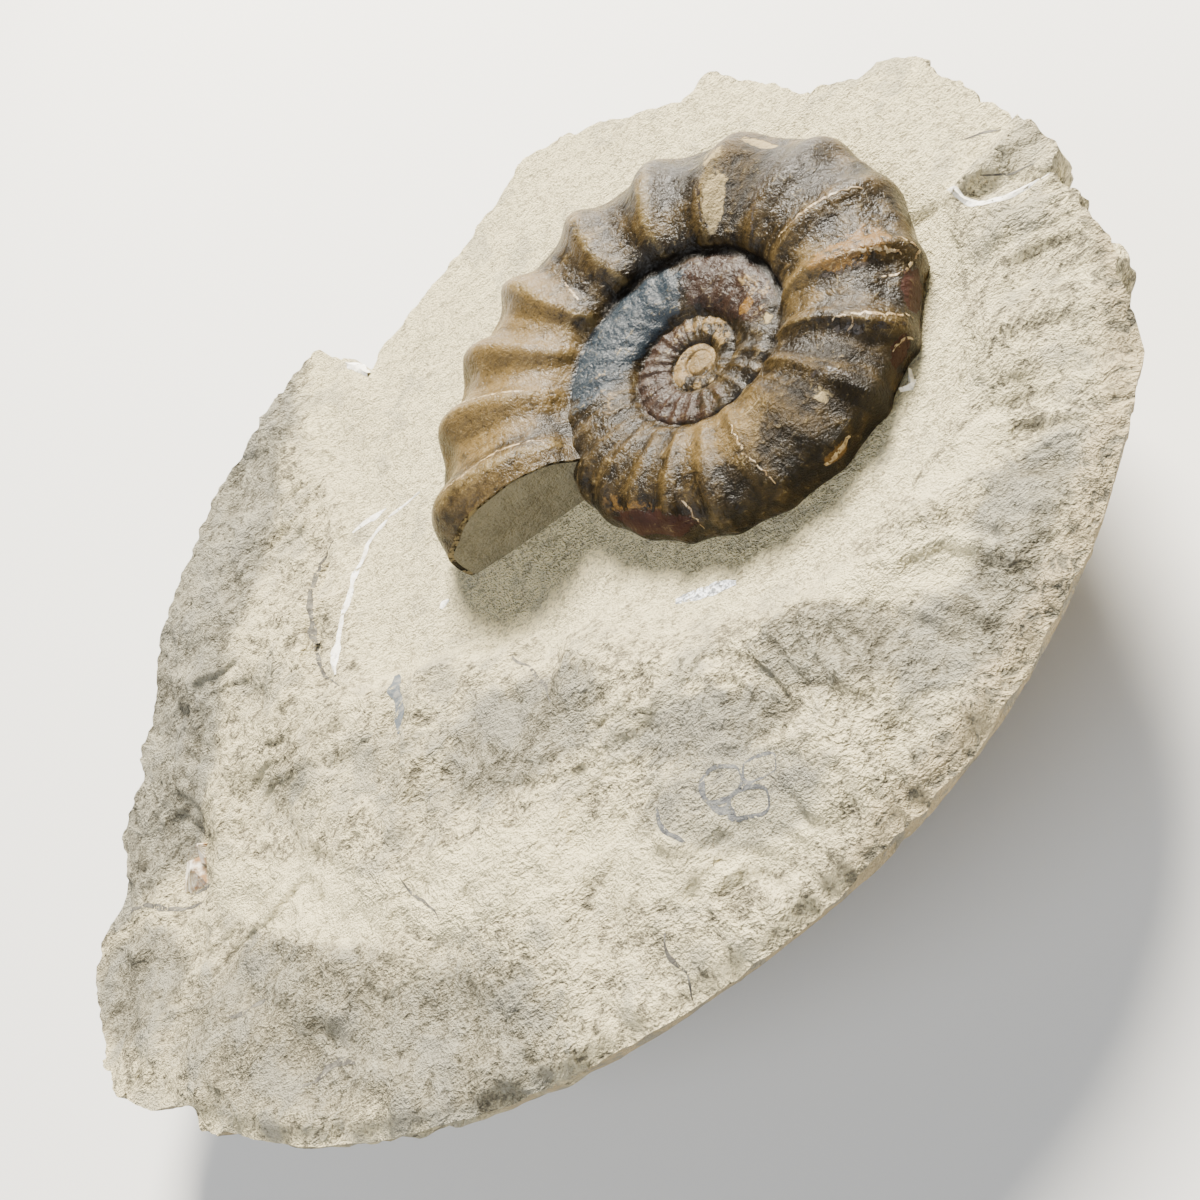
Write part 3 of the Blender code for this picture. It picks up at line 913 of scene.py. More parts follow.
        open_from = steps + 1 - self.stations
        targets = {rows[i][0]: rows[i + self.stations][seam] for i in range(open_from)}
        ring = [rows[i][0] for i in range(open_from, steps + 1)] + rows[steps][1:seam + 1]
        bmesh.ops.weld_verts(form.mesh, targetmap=targets)
        self.boss(form, ring)
        rim_verts = rows[0][1:] + rows[self.stations][seam:][::-1]
        rim = [vert.co.copy() for vert in rim_verts]
        for vert in rows[0][1:]:
            vert[form.tint_layer(Tint.PALE)] = 0.45
        form.mesh.faces.new([row[-1] for row in rows[:self.stations + 1]])
        form.mesh.faces.new(rim_verts)
        bmesh.ops.translate(form.mesh, vec=COIL_CENTRE, verts=form.mesh.verts)
        return form.done(material, Slot.SHELL, "ammonite"), rim

    @staticmethod
    def worn(point: Vector, back: float, side: float) -> Vector:
        """Roughens a point of the shell, more on the inner whorls.

        Args:
            point: The smooth point, in millimetres round the coil's centre.
            back: Degrees back from the mouth.
            side: Degrees round the section.

        Returns:
            The rough point.
        """
        inner = rise(-330, -430, back)
        size = 1.0 + 1.6 * (1 - inner)
        lift = (0.05 + 0.07 * inner) * grain(point.x, point.y, point.z, size)
        lift += 0.02 * grain(point.x, point.y, point.z + 40, size * 0.4)
        fade = rise(-25, -5, side)
        return point + Vector((0.2 * point.x / 25, 0.2 * point.y / 25, 1.0)) * lift * fade

    @staticmethod
    def flatten_mouth(rim: list[Vert], start: list[Vert]) -> None:
        """Lays the rim of the mouth and the start of the last whorl beside it in one upright plane.

        Args:
            rim: The rim's vertices.
            start: The vertices of the whorl before, at the mouth.
        """
        corner = start[0].co.copy()
        along = (rim[-2].co - corner).to_2d().normalized()
        normal = Vector((-along.y, along.x, 0))
        for vert in [*rim[1:], *start[1:]]:
            vert.co -= normal * (vert.co - corner).dot(normal)

    def chart(self, form: Form, rows: Rows, sides: list[float]) -> None:
        """Gives each corner its turns back from the mouth and round the section as a UV pair.

        Args:
            form: The shell's mesh.
            rows: Its vertices, section by section.
            sides: The section angle of each vertex of a row.
        """
        layer = form.mesh.loops.layers.uv.new(COIL_UV)
        pairs = {}
        for station, row in enumerate(rows):
            for vert, side in zip(row, [*sides, sides[-1]]):
                pairs[vert] = (station / self.stations, side / 360)
        for face in form.mesh.faces:
            for loop in face.loops:
                loop[layer].uv = pairs[loop.vert]

    def boss(self, form: Form, ring: list[Vert]) -> None:
        """Closes the middle and rounds the first whorls into one worn boss.

        Args:
            form: The shell's mesh.
            ring: The vertices round the hole in the middle.
        """
        height = sum(vert.co.z for vert in ring) / len(ring)
        pairs = {frozenset(pair) for pair in zip(ring, ring[1:] + ring[:1])}
        edges = {edge for vert in ring for edge in vert.link_edges if frozenset(edge.verts) in pairs}
        made = bmesh.ops.holes_fill(form.mesh, edges=list(edges), sides=0)["faces"]
        bmesh.ops.poke(form.mesh, faces=made)
        tan = form.tint_layer(Tint.TAN)
        for vert in form.mesh.verts:
            reach = math.hypot(vert.co.x, vert.co.y)
            if reach < self.boss_radius * 1.4 and vert.co.z > 0:
                dome = height + 0.05 + 0.3 * math.sqrt(max(0.0, 1 - (reach / self.boss_radius) ** 2))
                share = rise(self.boss_radius * 1.15, self.boss_radius * 0.8, reach)
                lump = 0.12 * grain(vert.co.x, vert.co.y, 3.0, 0.8)
                vert.co.z += (dome + lump - vert.co.z) * share
                vert[tan] = max(vert[tan], share)

    def surface(self, back: float, side: float, lift: float) -> Vector:
        """The point of the shell at a place in degrees, raised along the outward direction.

        Args:
            back: Degrees back from the mouth.
            side: Degrees round the section.
            lift: How far it is raised, in millimetres.

        Returns:
            The point, in millimetres from the origin.
        """
        point = self.worn(self.coil.point(back, side), back, side)
        core = self.coil.point(back, 90.0)
        core.z = 0.0
        return point + (point - core).normalized() * lift + COIL_CENTRE

    def mouth(self, rim: list[Vector], material: bpy.types.Material) -> bpy.types.Object:
        """The sediment face in the mouth, a little proud of the shell's cut edge.

        Args:
            rim: The rim of the mouth from its inner corner over the venter to its foot, and back along the
                whorl before.
            material: The sediment's material.

        Returns:
            The new piece.
        """
        form = Form("mouth_fill")
        foot = self.flank_points + self.outside_points
        fixed = rim[foot + 1]
        along = (rim[foot - 1] - rim[-1]).to_2d().normalized()
        normal = Vector((along.y, -along.x, 0))
        if normal.y > 0:
            normal.negate()
        points = [fixed + (point - fixed) * self.fill_share + COIL_CENTRE for point in rim]
        form.mesh.faces.new([form.mesh.verts.new(point + normal * self.fill_lift) for point in points])
        return form.done(material, Slot.SHELL)


# The stone

@dataclass(frozen=True)
class Blot:
    """An oval place on the stone, in millimetres from the origin, that carries one tint or a hollow."""

    x: float
    y: float
    half_length: float
    half_width: float
    turn: float = 0.0
    strength: float = 1.0

    def value(self, x: float, y: float, soft: float = 0.5) -> float:
        """How strongly the place shows.

        Args:
            x: Place along X in millimetres.
            y: Place along Y in millimetres.
            soft: How soft its border is, 0 to 1.

        Returns:
            The strength.
        """
        c, s = math.cos(math.radians(self.turn)), math.sin(math.radians(self.turn))
        dx, dy = x - self.x, y - self.y
        away = math.hypot((dx * c + dy * s) / self.half_length, (dy * c - dx * s) / self.half_width)
        return self.strength * rise(1 + soft, 1 - soft, away)


@dataclass
class Nodule:
    """The stone: outline, split and cut face, broken edge and weathered underside.

    The natural rim is made of four quarter ovals round the rim centre. Levels are heights over the coil's
    middle plane. The dish edge gives the reach of the cut stone from the coil's centre by direction in
    degrees.
    """

    coil: Coil
    rim_centre: tuple[float, float] = (8.0, -1.0)
    half_left: float = 55.3
    half_right: float = 43.4
    half_near: float = 38.1
    half_far: float = 45.0
    pole: Vector = Vector((8.4, -0.2)).freeze()
    spacing: float = 0.33
    lens_depth: float = 18.0
    lens_fullness: float = 2.1
    left_drop: float = 3.2
    wall_levels: tuple[float, ...] = (
        0.0, 0.04, 0.1, 0.17, 0.25, 0.34, 0.43, 0.52, 0.61, 0.7, 0.79, 0.88, 1.0)
    broken_edge: Path = (
        (41.5, -24.8), (44.2, -19.8), (45.4, -16.5), (45.8, -13.5), (45.7, -12.5), (47.5, -11.5),
        (48.0, -4.0), (48.0, 3.0), (48.5, 4.5), (47.0, 8.0), (45.5, 8.0), (42.5, 11.0), (41.5, 16.5),
        (39.5, 23.0), (36.5, 22.8), (31.5, 29.0), (28.0, 33.0), (23.5, 35.0), (19.0, 33.2), (10.0, 32.0),
        (2.5, 31.5), (0.8, 30.0), (-0.5, 34.0), (-2.5, 37.0), (-8.2, 35.0), (-10.5, 32.5), (-17.5, 31.5),
        (-24.0, 28.0), (-29.0, 24.5), (-34.0, 20.0), (-38.0, 17.5), (-39.0, 14.5), (-44.5, 12.5),
        (-45.5, 8.5), (-50.0, 4.5), (-51.5, 0.0), (-51.0, -7.5), (-47.5, -13.0), (-42.5, -17.3),
        (-40.0, -19.0), (-40.2, -20.5), (-38.5, -22.3))
    cut_level: float = -1.2
    split_level: float = 0.9
    dish_edge: Path = (
        (0, 40.0), (60, 46.0), (120, 50.0), (150, 39.0), (175, 38.0), (186, 30.0), (195, 25.0),
        (218, 21.5), (240, 22.5), (270, 23.0), (298, 23.0), (318, 21.5), (340, 21.0), (360, 40.0))
    dish_wall: float = 5.0
    groove_centre: tuple[float, float] = (0.1, 3.5)
    groove_radius: float = 15.9
    groove_span: tuple[float, float] = (132.0, 192.0)
    hollows: tuple[Blot, ...] = (
        Blot(-1.0, -11.5, 4.5, 2.6, 60.0, 0.7),
        Blot(-28.0, -24.0, 4.0, 2.4, -45.0, 1.0),
        Blot(-37.0, 1.9, 4.4, 3.2, 20.0, 1.1),
        Blot(-11.0, -4.5, 1.8, 4.0, -20.0, 0.5),
        Blot(3.5, -6.0, 9.0, 5.0, 0.0, 0.9),
    )
    stains: tuple[Blot, ...] = (
        Blot(-29.5, -19.5, 18.0, 7.5, -42.0, 0.72),
        Blot(-46.0, -3.5, 8.0, 5.0, -50.0, 0.95),
        Blot(9.9, -33.2, 1.5, 1.1, -28.0, 0.75),
        Blot(2.2, -30.4, 1.3, 1.3, 0.0, 0.6),
        Blot(-17.0, -30.5, 9.0, 6.0, -28.0, 0.75),
        Blot(-3.5, -15.5, 8.0, 4.5, -20.0, 0.9),
        Blot(-13.0, -10.0, 3.5, 6.0, 0.0, 0.5),
        Blot(16.5, -28.0, 5.5, 3.0, -45.0, 0.9),
        Blot(23.5, -33.0, 6.0, 2.6, -5.0, 0.9),
        Blot(8.0, -26.2, 6.0, 2.2, -30.0, 0.95),
        Blot(1.5, -28.3, 2.6, 1.2, -10.0, 0.9),
        Blot(29.0, -29.5, 5.5, 2.4, 25.0, 0.9),
        Blot(-23.5, -1.5, 3.0, 2.2, -40.0, 0.6),
    )
    pales: tuple[Blot, ...] = (
        Blot(-26.0, -11.0, 13.0, 2.8, -48.0),
        Blot(-10.0, -22.8, 12.0, 3.0, -28.0),
        Blot(3.5, -32.4, 8.0, 2.4, -25.0, 0.9),
        Blot(22.0, -27.0, 5.0, 2.0, -30.0, 0.8),
        Blot(30.0, -24.0, 4.0, 2.0, 10.0, 0.7),
    )
    cells: Blot = Blot(6.8, -31.2, 5.2, 2.9, -35.0)
    tree: BVHTree | None = None

    def rim_place(self, x: float, y: float) -> tuple[float, float]:
        """A place as fractions of the natural nodule's half-length and half-width.

        Args:
            x: Place along X in millimetres.
            y: Place along Y in millimetres.

        Returns:
            The two fractions, which lie on a circle of 1 at the rim.
        """
        dx, dy = x - self.rim_centre[0], y - self.rim_centre[1]
        half_length = self.half_right if dx > 0 else self.half_left
        half_width = self.half_far if dy > 0 else self.half_near
        return dx / half_length, dy / half_width

    def outline(self) -> list[Vector]:
        """The outline in plan: the broken edge, jagged, then the natural rim.

        Returns:
            The outline's points, a whole number of eights.
        """
        points: list[Vector] = []
        corners = [Vector(p) for p in self.broken_edge]
        for a, b in zip(corners, corners[1:]):
            parts = max(1, round((b - a).length / self.spacing))
            out = Vector((b.y - a.y, a.x - b.x)).normalized()
            for i in range(parts):
                p = a.lerp(b, i / parts)
                jag = 0.6 * grain(p.x, p.y, 11.0, 2.6) + 0.35 * grain(p.x, p.y, 3.0, 0.9)
                to_corner = min((p - a).length, (p - b).length)
                points.append(p + out * jag * rise(0, 0.6, to_corner + 0.25))
        points.append(corners[-1])
        ends = (self.rim_place(*corner) for corner in (corners[-1], corners[0]))
        start, end = (math.atan2(y, x) % TURN for x, y in ends)
        parts = round((end - start) * 47 / self.spacing)
        for i in range(1, parts):
            angle = start + (end - start) * i / parts
            half_length = self.half_right if math.cos(angle) > 0 else self.half_left
            p = Vector((self.rim_centre[0] + half_length * math.cos(angle),
                        self.rim_centre[1] + self.half_near * math.sin(angle)))
            p *= 1 + 0.0035 * grain(p.x, p.y, 5.0, 4.0) + 0.0015 * grain(p.x, p.y, 8.0, 1.0)
            points.append(p)
        spare = len(points) % 8
        return points[:len(points) - spare] if spare else points

    def coil_edge(self, around: float) -> float:
        """Distance from the coil's centre to its outer edge in a direction in degrees.

        Args:
            around: The direction in degrees.

        Returns:
            The distance in millimetres.
        """
        back = (around - math.degrees(self.coil.mouth_angle)) % 360 - 360
        return self.coil.radius * math.exp(self.coil.growth * math.radians(back))

    def left_slope(self, px: float, py: float) -> float:
        """How far the stone has fallen away towards its left end, 0 to 1.

        Args:
            px: Place along X from the coil's centre.
            py: Place along Y from the coil's centre.

        Returns:
            The share of the drop.
        """
        return rise(-43.0, -63.0, px + 0.35 * (py - 8)) * rise(-16, 0, py)

    def cut_share(self, x: float, y: float) -> float:
        """Share of the preparer's work at a place: 1 on the cut stone and 0 on the split stone.

        Args:
            x: Place along X in millimetres.
            y: Place along Y in millimetres.

        Returns:
            The share.
        """
        px, py = x - COIL_CENTRE.x, y - COIL_CENTRE.y
        reach, around = math.hypot(px, py), math.degrees(math.atan2(py, px)) % 360
        edge = ease(self.dish_edge, around)
        start = max(self.coil_edge(around), edge - self.dish_wall)
        return 1 - rise(start - 1, edge + 1.5, reach)

    def height(self, x: float, y: float) -> float:
        """Height of the split and cut face above the coil's middle plane.

        Args:
            x: Place along X in millimetres.
            y: Place along Y in millimetres.

        Returns:
            The height in millimetres.
        """
        px, py = x - COIL_CENTRE.x, y - COIL_CENTRE.y
        cut = self.cut_share(x, y)
        rough = rise(0.55, 0.0, cut)
        level = self.split_level + (self.cut_level - self.split_level) * cut
        level += rough * 0.9 * swell(x, y, 0.055, 0.055, 3.1)
        level += (0.15 + 0.35 * rough) * swell(x, y, 0.16, 0.16, 7.7)
        level -= self.left_drop * self.left_slope(px, py)
        level += 0.9 * rise(-1.5, 1.5, -22.5 - px) * rise(-9, 3, py - 31.0)
        level -= self.groove_depth(x, y)
        for hollow in self.hollows:
            level -= hollow.value(x, y)
        over_step = (6.0 * (py + 5.0) + 5.6 * (px - 18.0)) / math.hypot(6.0, 5.6)
        level += 0.7 * rise(-0.5, 0.5, over_step) * rise(14, 19, px) * rise(12, 2, py)
        level -= 0.6 * rise(0.965, 1.0, math.hypot(*self.rim_place(x, y)))
        return level + self.texture(x, y, cut, rough)

    def texture(self, x: float, y: float, cut: float, rough: float) -> float:
        """Small relief: tool strokes on the cut stone, crinkles and little steps on the split stone.

        Args:
            x: Place along X in millimetres.
            y: Place along Y in millimetres.
            cut: Share of the preparer's work.
            rough: Share of the natural split.

        Returns:
            The relief in millimetres.
        """
        strokes = 0.10 * swell(x, y, 0.35, 1.1, 2.0) + 0.07 * swell(x, y, 1.1, 2.2, 9.0)
        spot = Vector((x * 0.24, y * 0.24, 1.3))
        ridges = 0.34 * min(noise.ridged_multi_fractal(spot, 0.9, 2.1, 4, 1.0, 2.0) - 1.0, 1.0)
        steps = swell(x, y, 0.14, 0.14, 13.0) * 3.2 + 0.12 * swell(x, y, 0.5, 0.5, 4.0)
        ledges = 0.32 * (math.floor(steps) + rise(0.86, 1.0, steps - math.floor(steps)))
        rim_x, rim_y = self.rim_place(x, y)
        share, around = math.hypot(rim_x, rim_y), math.atan2(rim_y, rim_x)
        hackles = swell(around, share, 17, 4, 6.0) + 0.5 * swell(around, share, 41, 9, 2.0)
        hackles *= 0.62 * rise(0.66, 0.90, share) * rise(-6, 16, x)
        return cut * strokes + rough * (ridges + ledges + hackles)

    def groove_depth(self, x: float, y: float) -> float:
        """Depth of the curved groove left of the mouth.

        Args:
            x: Place along X in millimetres.
            y: Place along Y in millimetres.

        Returns:
            The depth in millimetres.
        """
        gx, gy = x - self.groove_centre[0], y - self.groove_centre[1]
        along = math.degrees(math.atan2(gy, gx)) % 360
        low, high = self.groove_span
        if not low < along < high:
            return 0.0
        fade = rise(low, low + 10, along) * rise(high, high - 8, along)
        return 0.9 * fade * math.exp(-((math.hypot(gx, gy) - self.groove_radius) / 0.6) ** 2)

    def lens_height(self, x: float, y: float) -> float:
        """Height of the weathered underside above the floor.

        Args:
            x: Place along X in millimetres.
            y: Place along Y in millimetres.

        Returns:
            The height in millimetres.
        """
        share = 0.0
        for _ in range(8):
            share = math.hypot(*self.rim_place(
                x + self.rim_centre[0] * (1 - share), y + self.rim_centre[1] * (1 - share)))
        share = min(share, 1.0)
        slope = self.left_slope(x - COIL_CENTRE.x, y - COIL_CENTRE.y)
        height = (self.lens_depth - self.left_drop * slope) * share ** self.lens_fullness - 0.5
        lumps = rise(0.25, 0.6, share)
        height += lumps * 0.9 * swell(x, y, 0.045, 0.045, 21.0)
        height += lumps * (0.12 * grain(x, y, 7.0, 3.0) + 0.06 * grain(x, y, 9.0, 1.0))
        return max(height, 0.0)

    def paint(self, form: Form, vert: Vert, x: float, y: float) -> None:
        """Writes the zones of the top into a vertex.

        Args:
            form: The mesh that the vertex is in.
            vert: The vertex.
            x: Place along X in millimetres.
            y: Place along Y in millimetres.
        """
        px, py = x - COIL_CENTRE.x, y - COIL_CENTRE.y
        zones = {
            Tint.CUT: self.cut_share(x, y),
            Tint.SLOPE: rise(57, 66, py - px) * rise(3, 10, py),
            Tint.TAN: rise(0.90, 0.99, math.hypot(*self.rim_place(x, y))) * rise(0, 15, x),
            Tint.STAIN: max(blot.value(x, y) for blot in self.stains),
            Tint.PALE: max(blot.value(x, y) for blot in self.pales),
            Tint.CELLS: self.cells.value(x, y, 0.7),
        }
        for tint, value in zones.items():
            vert[form.tint_layer(tint)] = value

    def stone(self, material: bpy.types.Material) -> bpy.types.Object:
        """Builds the stone in rings: the top from its outline inwards, then the wall and the underside.

        Args:
            material: The stone's material.

        Returns:
            The new piece.
        """
        form = Form("stone")
        for tint in (Tint.CUT, Tint.SLOPE, Tint.STAIN, Tint.PALE, Tint.CELLS, Tint.TAN, Tint.RIM):
            form.tint_layer(tint)
        outline = self.outline()
        plan = self.ring_plan(len(outline))
        rings = form.disc([count for _, count in plan])
        for (share, _), ring in zip(plan, rings):
            for vert, p in zip(ring, outline[::len(outline) // len(ring)]):
                x, y = self.pole + (p - self.pole) * share
                vert.co = (x, y, COIL_CENTRE.z + self.height(x, y))
                self.paint(form, vert, x, y)
        form.mesh.faces.new(rings[-1])
        self.under(form, rings[0], outline)
        piece = form.done(material, Slot.LIMESTONE, "matrix")
        mesh = bmesh.new()
        mesh.from_mesh(piece.data)
        self.tree = BVHTree.FromBMesh(mesh)
        mesh.free()
        return piece

    def ring_plan(self, around: int) -> list[tuple[float, int]]:
        """Share of the outline and vertex count of each ring of the top, from the rim inwards.

        Args:
            around: How many points the outline has.

        Returns:
            The share and the count of each ring.
        """
        plan = []
        share, step, count = 1.0, self.spacing / 42, around
        while share > 0.03:
            plan.append((share, count))
            share -= step
            if share < 0.5 * count / around and count > around / 8:
                count //= 2
                step *= 1.6
        return plan

    def under(self, form: Form, rim: list[Vert], outline: list[Vector]) -> None:
        """The broken wall under the rim and the weathered underside down to the flat spot.

        Args:
            form: The stone's mesh.
            rim: The vertices of its rim.
            outline: The outline's points.
        """
        tint = form.tint_layer(Tint.RIM)
        shares = [1.0]
        while shares[-1] > 0.2:
            shares.append(shares[-1] - (0.012 if shares[-1] > 0.8 else 0.03))
        counts = [len(outline) // (1 if share > 0.97 else 2 if share > 0.45 else 4) for share in shares]
        wall = [len(outline)] * len(self.wall_levels)
        rings = form.disc([*wall, *counts[1:]])
        bmesh.ops.weld_verts(form.mesh, targetmap=dict(zip(rings[0], rim)))
        tops = [vert.co.z for vert in rim]
        feet = [min(self.lens_height(p.x, p.y), top - 0.9) for p, top in zip(outline, tops)]
        for level, ring in list(zip(self.wall_levels, rings))[1:]:
            skip = len(outline) // len(ring)
            for vert, p, top, foot in zip(ring, outline[::skip], tops[::skip], feet[::skip]):
                tall = rise(1.2, 3.0, top - foot)
                z = (top - foot) * level
                rough = tall * (0.9 * grain(p.x, p.y, z, 2.6) + 0.45 * grain(p.x, p.y, z, 1.0))
                away = p * (1 - 0.006 * level) + p.normalized() * rough * rise(0, 0.2, level)
                vert.co = (away.x, away.y, top + (foot - top) * level)
                vert[tint] = 0.9 * (1 - tall)
        for share, ring in zip(shares[1:], rings[len(wall):]):
            skip = len(outline) // len(ring)
            for vert, p, foot in zip(ring, outline[::skip], feet[::skip]):
                x, y = p * share * 0.996
                vert.co = (x, y, min(self.lens_height(x, y), foot + 1.0))
                vert[tint] = 1.0
        for vert in rings[-1]:
            vert.co.z = 0.0
        form.mesh.faces.new(rings[-1])

    def on_top(self, x: float, y: float, lift: float = 0.0) -> Vector:
        """The point of the stone's top at a place in millimetres, raised a little.

        Args:
            x: Place along X in millimetres.
            y: Place along Y in millimetres.
            lift: How far it is raised, in millimetres.

        Returns:
            The point.
        """
        hit = self.tree.ray_cast(Vector((x * MM, y * MM, 0.1)), Vector((0, 0, -1)))[0]
        top = hit.z / MM if hit else COIL_CENTRE.z + self.height(x, y)
        return Vector((x, y, top + lift))


def oval(x: float, y: float, half_length: float, half_width: float, turn: float) -> Path:
    """Points round an oval with full corners, for a ribbon that closes on itself.

    Args:
        x: Its centre along X.
        y: Its centre along Y.
        half_length: Half its length.
        half_width: Half its width.
        turn: The direction of its length in degrees.

    Returns:
        The points, the last on the first.
    """
    c, s = math.cos(math.radians(turn)), math.sin(math.radians(turn))
    fullness, parts = 0.6, 16
    made = []
    for i in range(parts + 1):
        along, over = math.cos(TURN * i / parts), math.sin(TURN * i / parts)
        a = half_length * math.copysign(abs(along) ** fullness, along)
        b = half_width * math.copysign(abs(over) ** fullness, over)
        made.append((x + a * c - b * s, y + a * s + b * c))
    return tuple(made)


@dataclass(frozen=True)
class Ribbon:
    """A thin strip that follows a line on a surface: a vein, a crack, a painted highlight along a rib
    crest, a painted shadow under one, or a smear.

    Its points are in the surface's own two coordinates. Lift is how far its middle stands over its edges,
    wander how far it strays from the line, and step the length of a part of it.
    """

    name: str
    points: Path
    width: float
    lift: float = 0.03
    wander: float = 0.25
    step: float = 0.25
    edge_lift: float = 0.02

    def lay(self, surface: Surface, material: bpy.types.Material, slot: Slot) -> None:
        """Lays the strip.

        Args:
            surface: Gives the point in space for a place and a lift.
            material: The strip's material.
            slot: The record's material slot.
        """
        form = Form(self.name)
        walked = self.walk(surface)
        for (spot, share), row in zip(walked, form.sheet(len(walked), 3)):
            ahead = surface(spot.x, spot.y, 0.0)
            across = self.across(surface, spot)
            half = self.width / 2 * math.sin(math.pi * min(max(share, 0.05), 0.95)) ** 0.5
            half *= 1 + 0.8 * grain(ahead.x, ahead.y, 2.0, 1.1)
            for vert, k in zip(row, (-1.0, 0.0, 1.0)):
                vert.co = surface(*(spot + across * half * k), self.edge_lift + self.lift * (k == 0))
        form.done(material, slot)

    @staticmethod
    def scale(surface: Surface, spot: Vector) -> tuple[float, float]:
        """Millimetres of surface for one unit of each coordinate.

        Args:
            surface: The surface.
            spot: The place, in the surface's own coordinates.

        Returns:
            The lengths for the first and the second.
        """
        here = surface(spot.x, spot.y, 0.0)
        first = (surface(spot.x + 0.2, spot.y, 0.0) - here).to_2d().length / 0.2
        second = (surface(spot.x, spot.y + 0.2, 0.0) - here).length / 0.2
        return max(first, 0.05), max(second, 0.05)

    def across(self, surface: Surface, spot: Vector) -> Vector:
        """The step across the strip that is one millimetre long on the surface.

        Args:
            surface: The surface.
            spot: The place, in the surface's own coordinates.

        Returns:
            The step, in those coordinates.
        """
        sx, sy = self.scale(surface, spot)
        corners = [Vector(p) for p in self.points]
        nearest = min(zip(corners, corners[1:]), key=lambda ab: ((ab[0] + ab[1]) / 2 - spot).length)
        along = nearest[1] - nearest[0]
        flat = Vector((-along.y * sy, along.x * sx)).normalized()
        return Vector((flat.x / sx, flat.y / sy))

    def walk(self, surface: Surface) -> list[tuple[Vector, float]]:
        """Places along the wandering line, each with its share of the way.

        Args:
            surface: The surface.

        Returns:
            The places and their shares.
        """
        corners = [Vector(p) for p in self.points]
        made: list[Vector] = []
        for a, b in zip(corners, corners[1:]):
            length = (surface(b.x, b.y, 0.0) - surface(a.x, a.y, 0.0)).length
            parts = max(2, round(length / self.step))
            made += [a.lerp(b, i / parts) for i in range(parts)]
        made.append(corners[-1])
        walked = []
        for i, spot in enumerate(made):
            shift = self.wander * grain(spot.x, spot.y, self.width, 1.8)
            walked.append((spot + self.across(surface, spot) * shift, i / (len(made) - 1)))
        return walked


@dataclass(frozen=True)
class Shard:
    """One broken piece of a ribbed shell that stands in the stone, as a leaning ribbed wedge."""

    name: str
    x: float
    y: float
    half_length: float
    half_width: float
    tall: float
    turn: float

    def build(self, nodule: Nodule, material: bpy.types.Material, *nodes: str) -> bpy.types.Object:
        """Makes the shard on the stone.

        Args:
            nodule: The stone it stands in.
            material: Its material.
            nodes: CAD nodes that it stands for.

        Returns:
            The new piece.
        """
        form = Form(self.name)
        bmesh.ops.create_cube(form.mesh, size=2.0)
        bmesh.ops.subdivide_edges(form.mesh, edges=form.mesh.edges[:], cuts=20, use_grid_fill=True)
        for vert in form.mesh.verts:
            x, y, z = vert.co
            share = (z + 1) / 2
            along = (x - 0.25) * (1 - 0.88 * share) + 0.25 * share
            across = y * (1 - 0.80 * share) + 0.25 * share
            across += 0.08 * math.cos((x * 0.8 + share * 0.5) * 21) * rise(-0.2, -0.9, y)
            up = share * 1.5 - 0.5
            vert.co = (along * self.half_length, across * self.half_width, up * self.tall)
        place = nodule.on_top(self.x, self.y, 0.0)
        turned = Matrix.Translation(place) @ Matrix.Rotation(math.radians(self.turn), 4, "Z")
        bmesh.ops.transform(form.mesh, matrix=turned, verts=form.mesh.verts)
        return form.done(material, Slot.CHIP, *nodes)


CHIP = Shard("shell_chip_main", -38.2, 2.8, 2.3, 1.9, 1.15, -25.0)
CHIP_SIDE = Shard("shell_chip_side", -35.9, 3.3, 0.9, 0.4, 0.8, 40.0)


@dataclass(frozen=True)
class Lamp:
    """A soft round lamp that faces the coil; its place and size are in metres and its power in watts."""

    name: str
    place: tuple[float, float, float]
    size: float
    power: float
    colour: Colour

    def hang(self) -> None:
        """Adds the lamp to the scene."""
        data = bpy.data.lights.new(self.name, "AREA")
        data.shape = "DISK"
        data.size = self.size
        data.energy = self.power
        data.color = self.colour
        lamp = bpy.data.objects.new(self.name, data)
        lamp.location = self.place
        lamp.rotation_euler = (COIL_CENTRE * MM - Vector(self.place)).to_track_quat("-Z", "Y").to_euler()
        bpy.context.collection.objects.link(lamp)


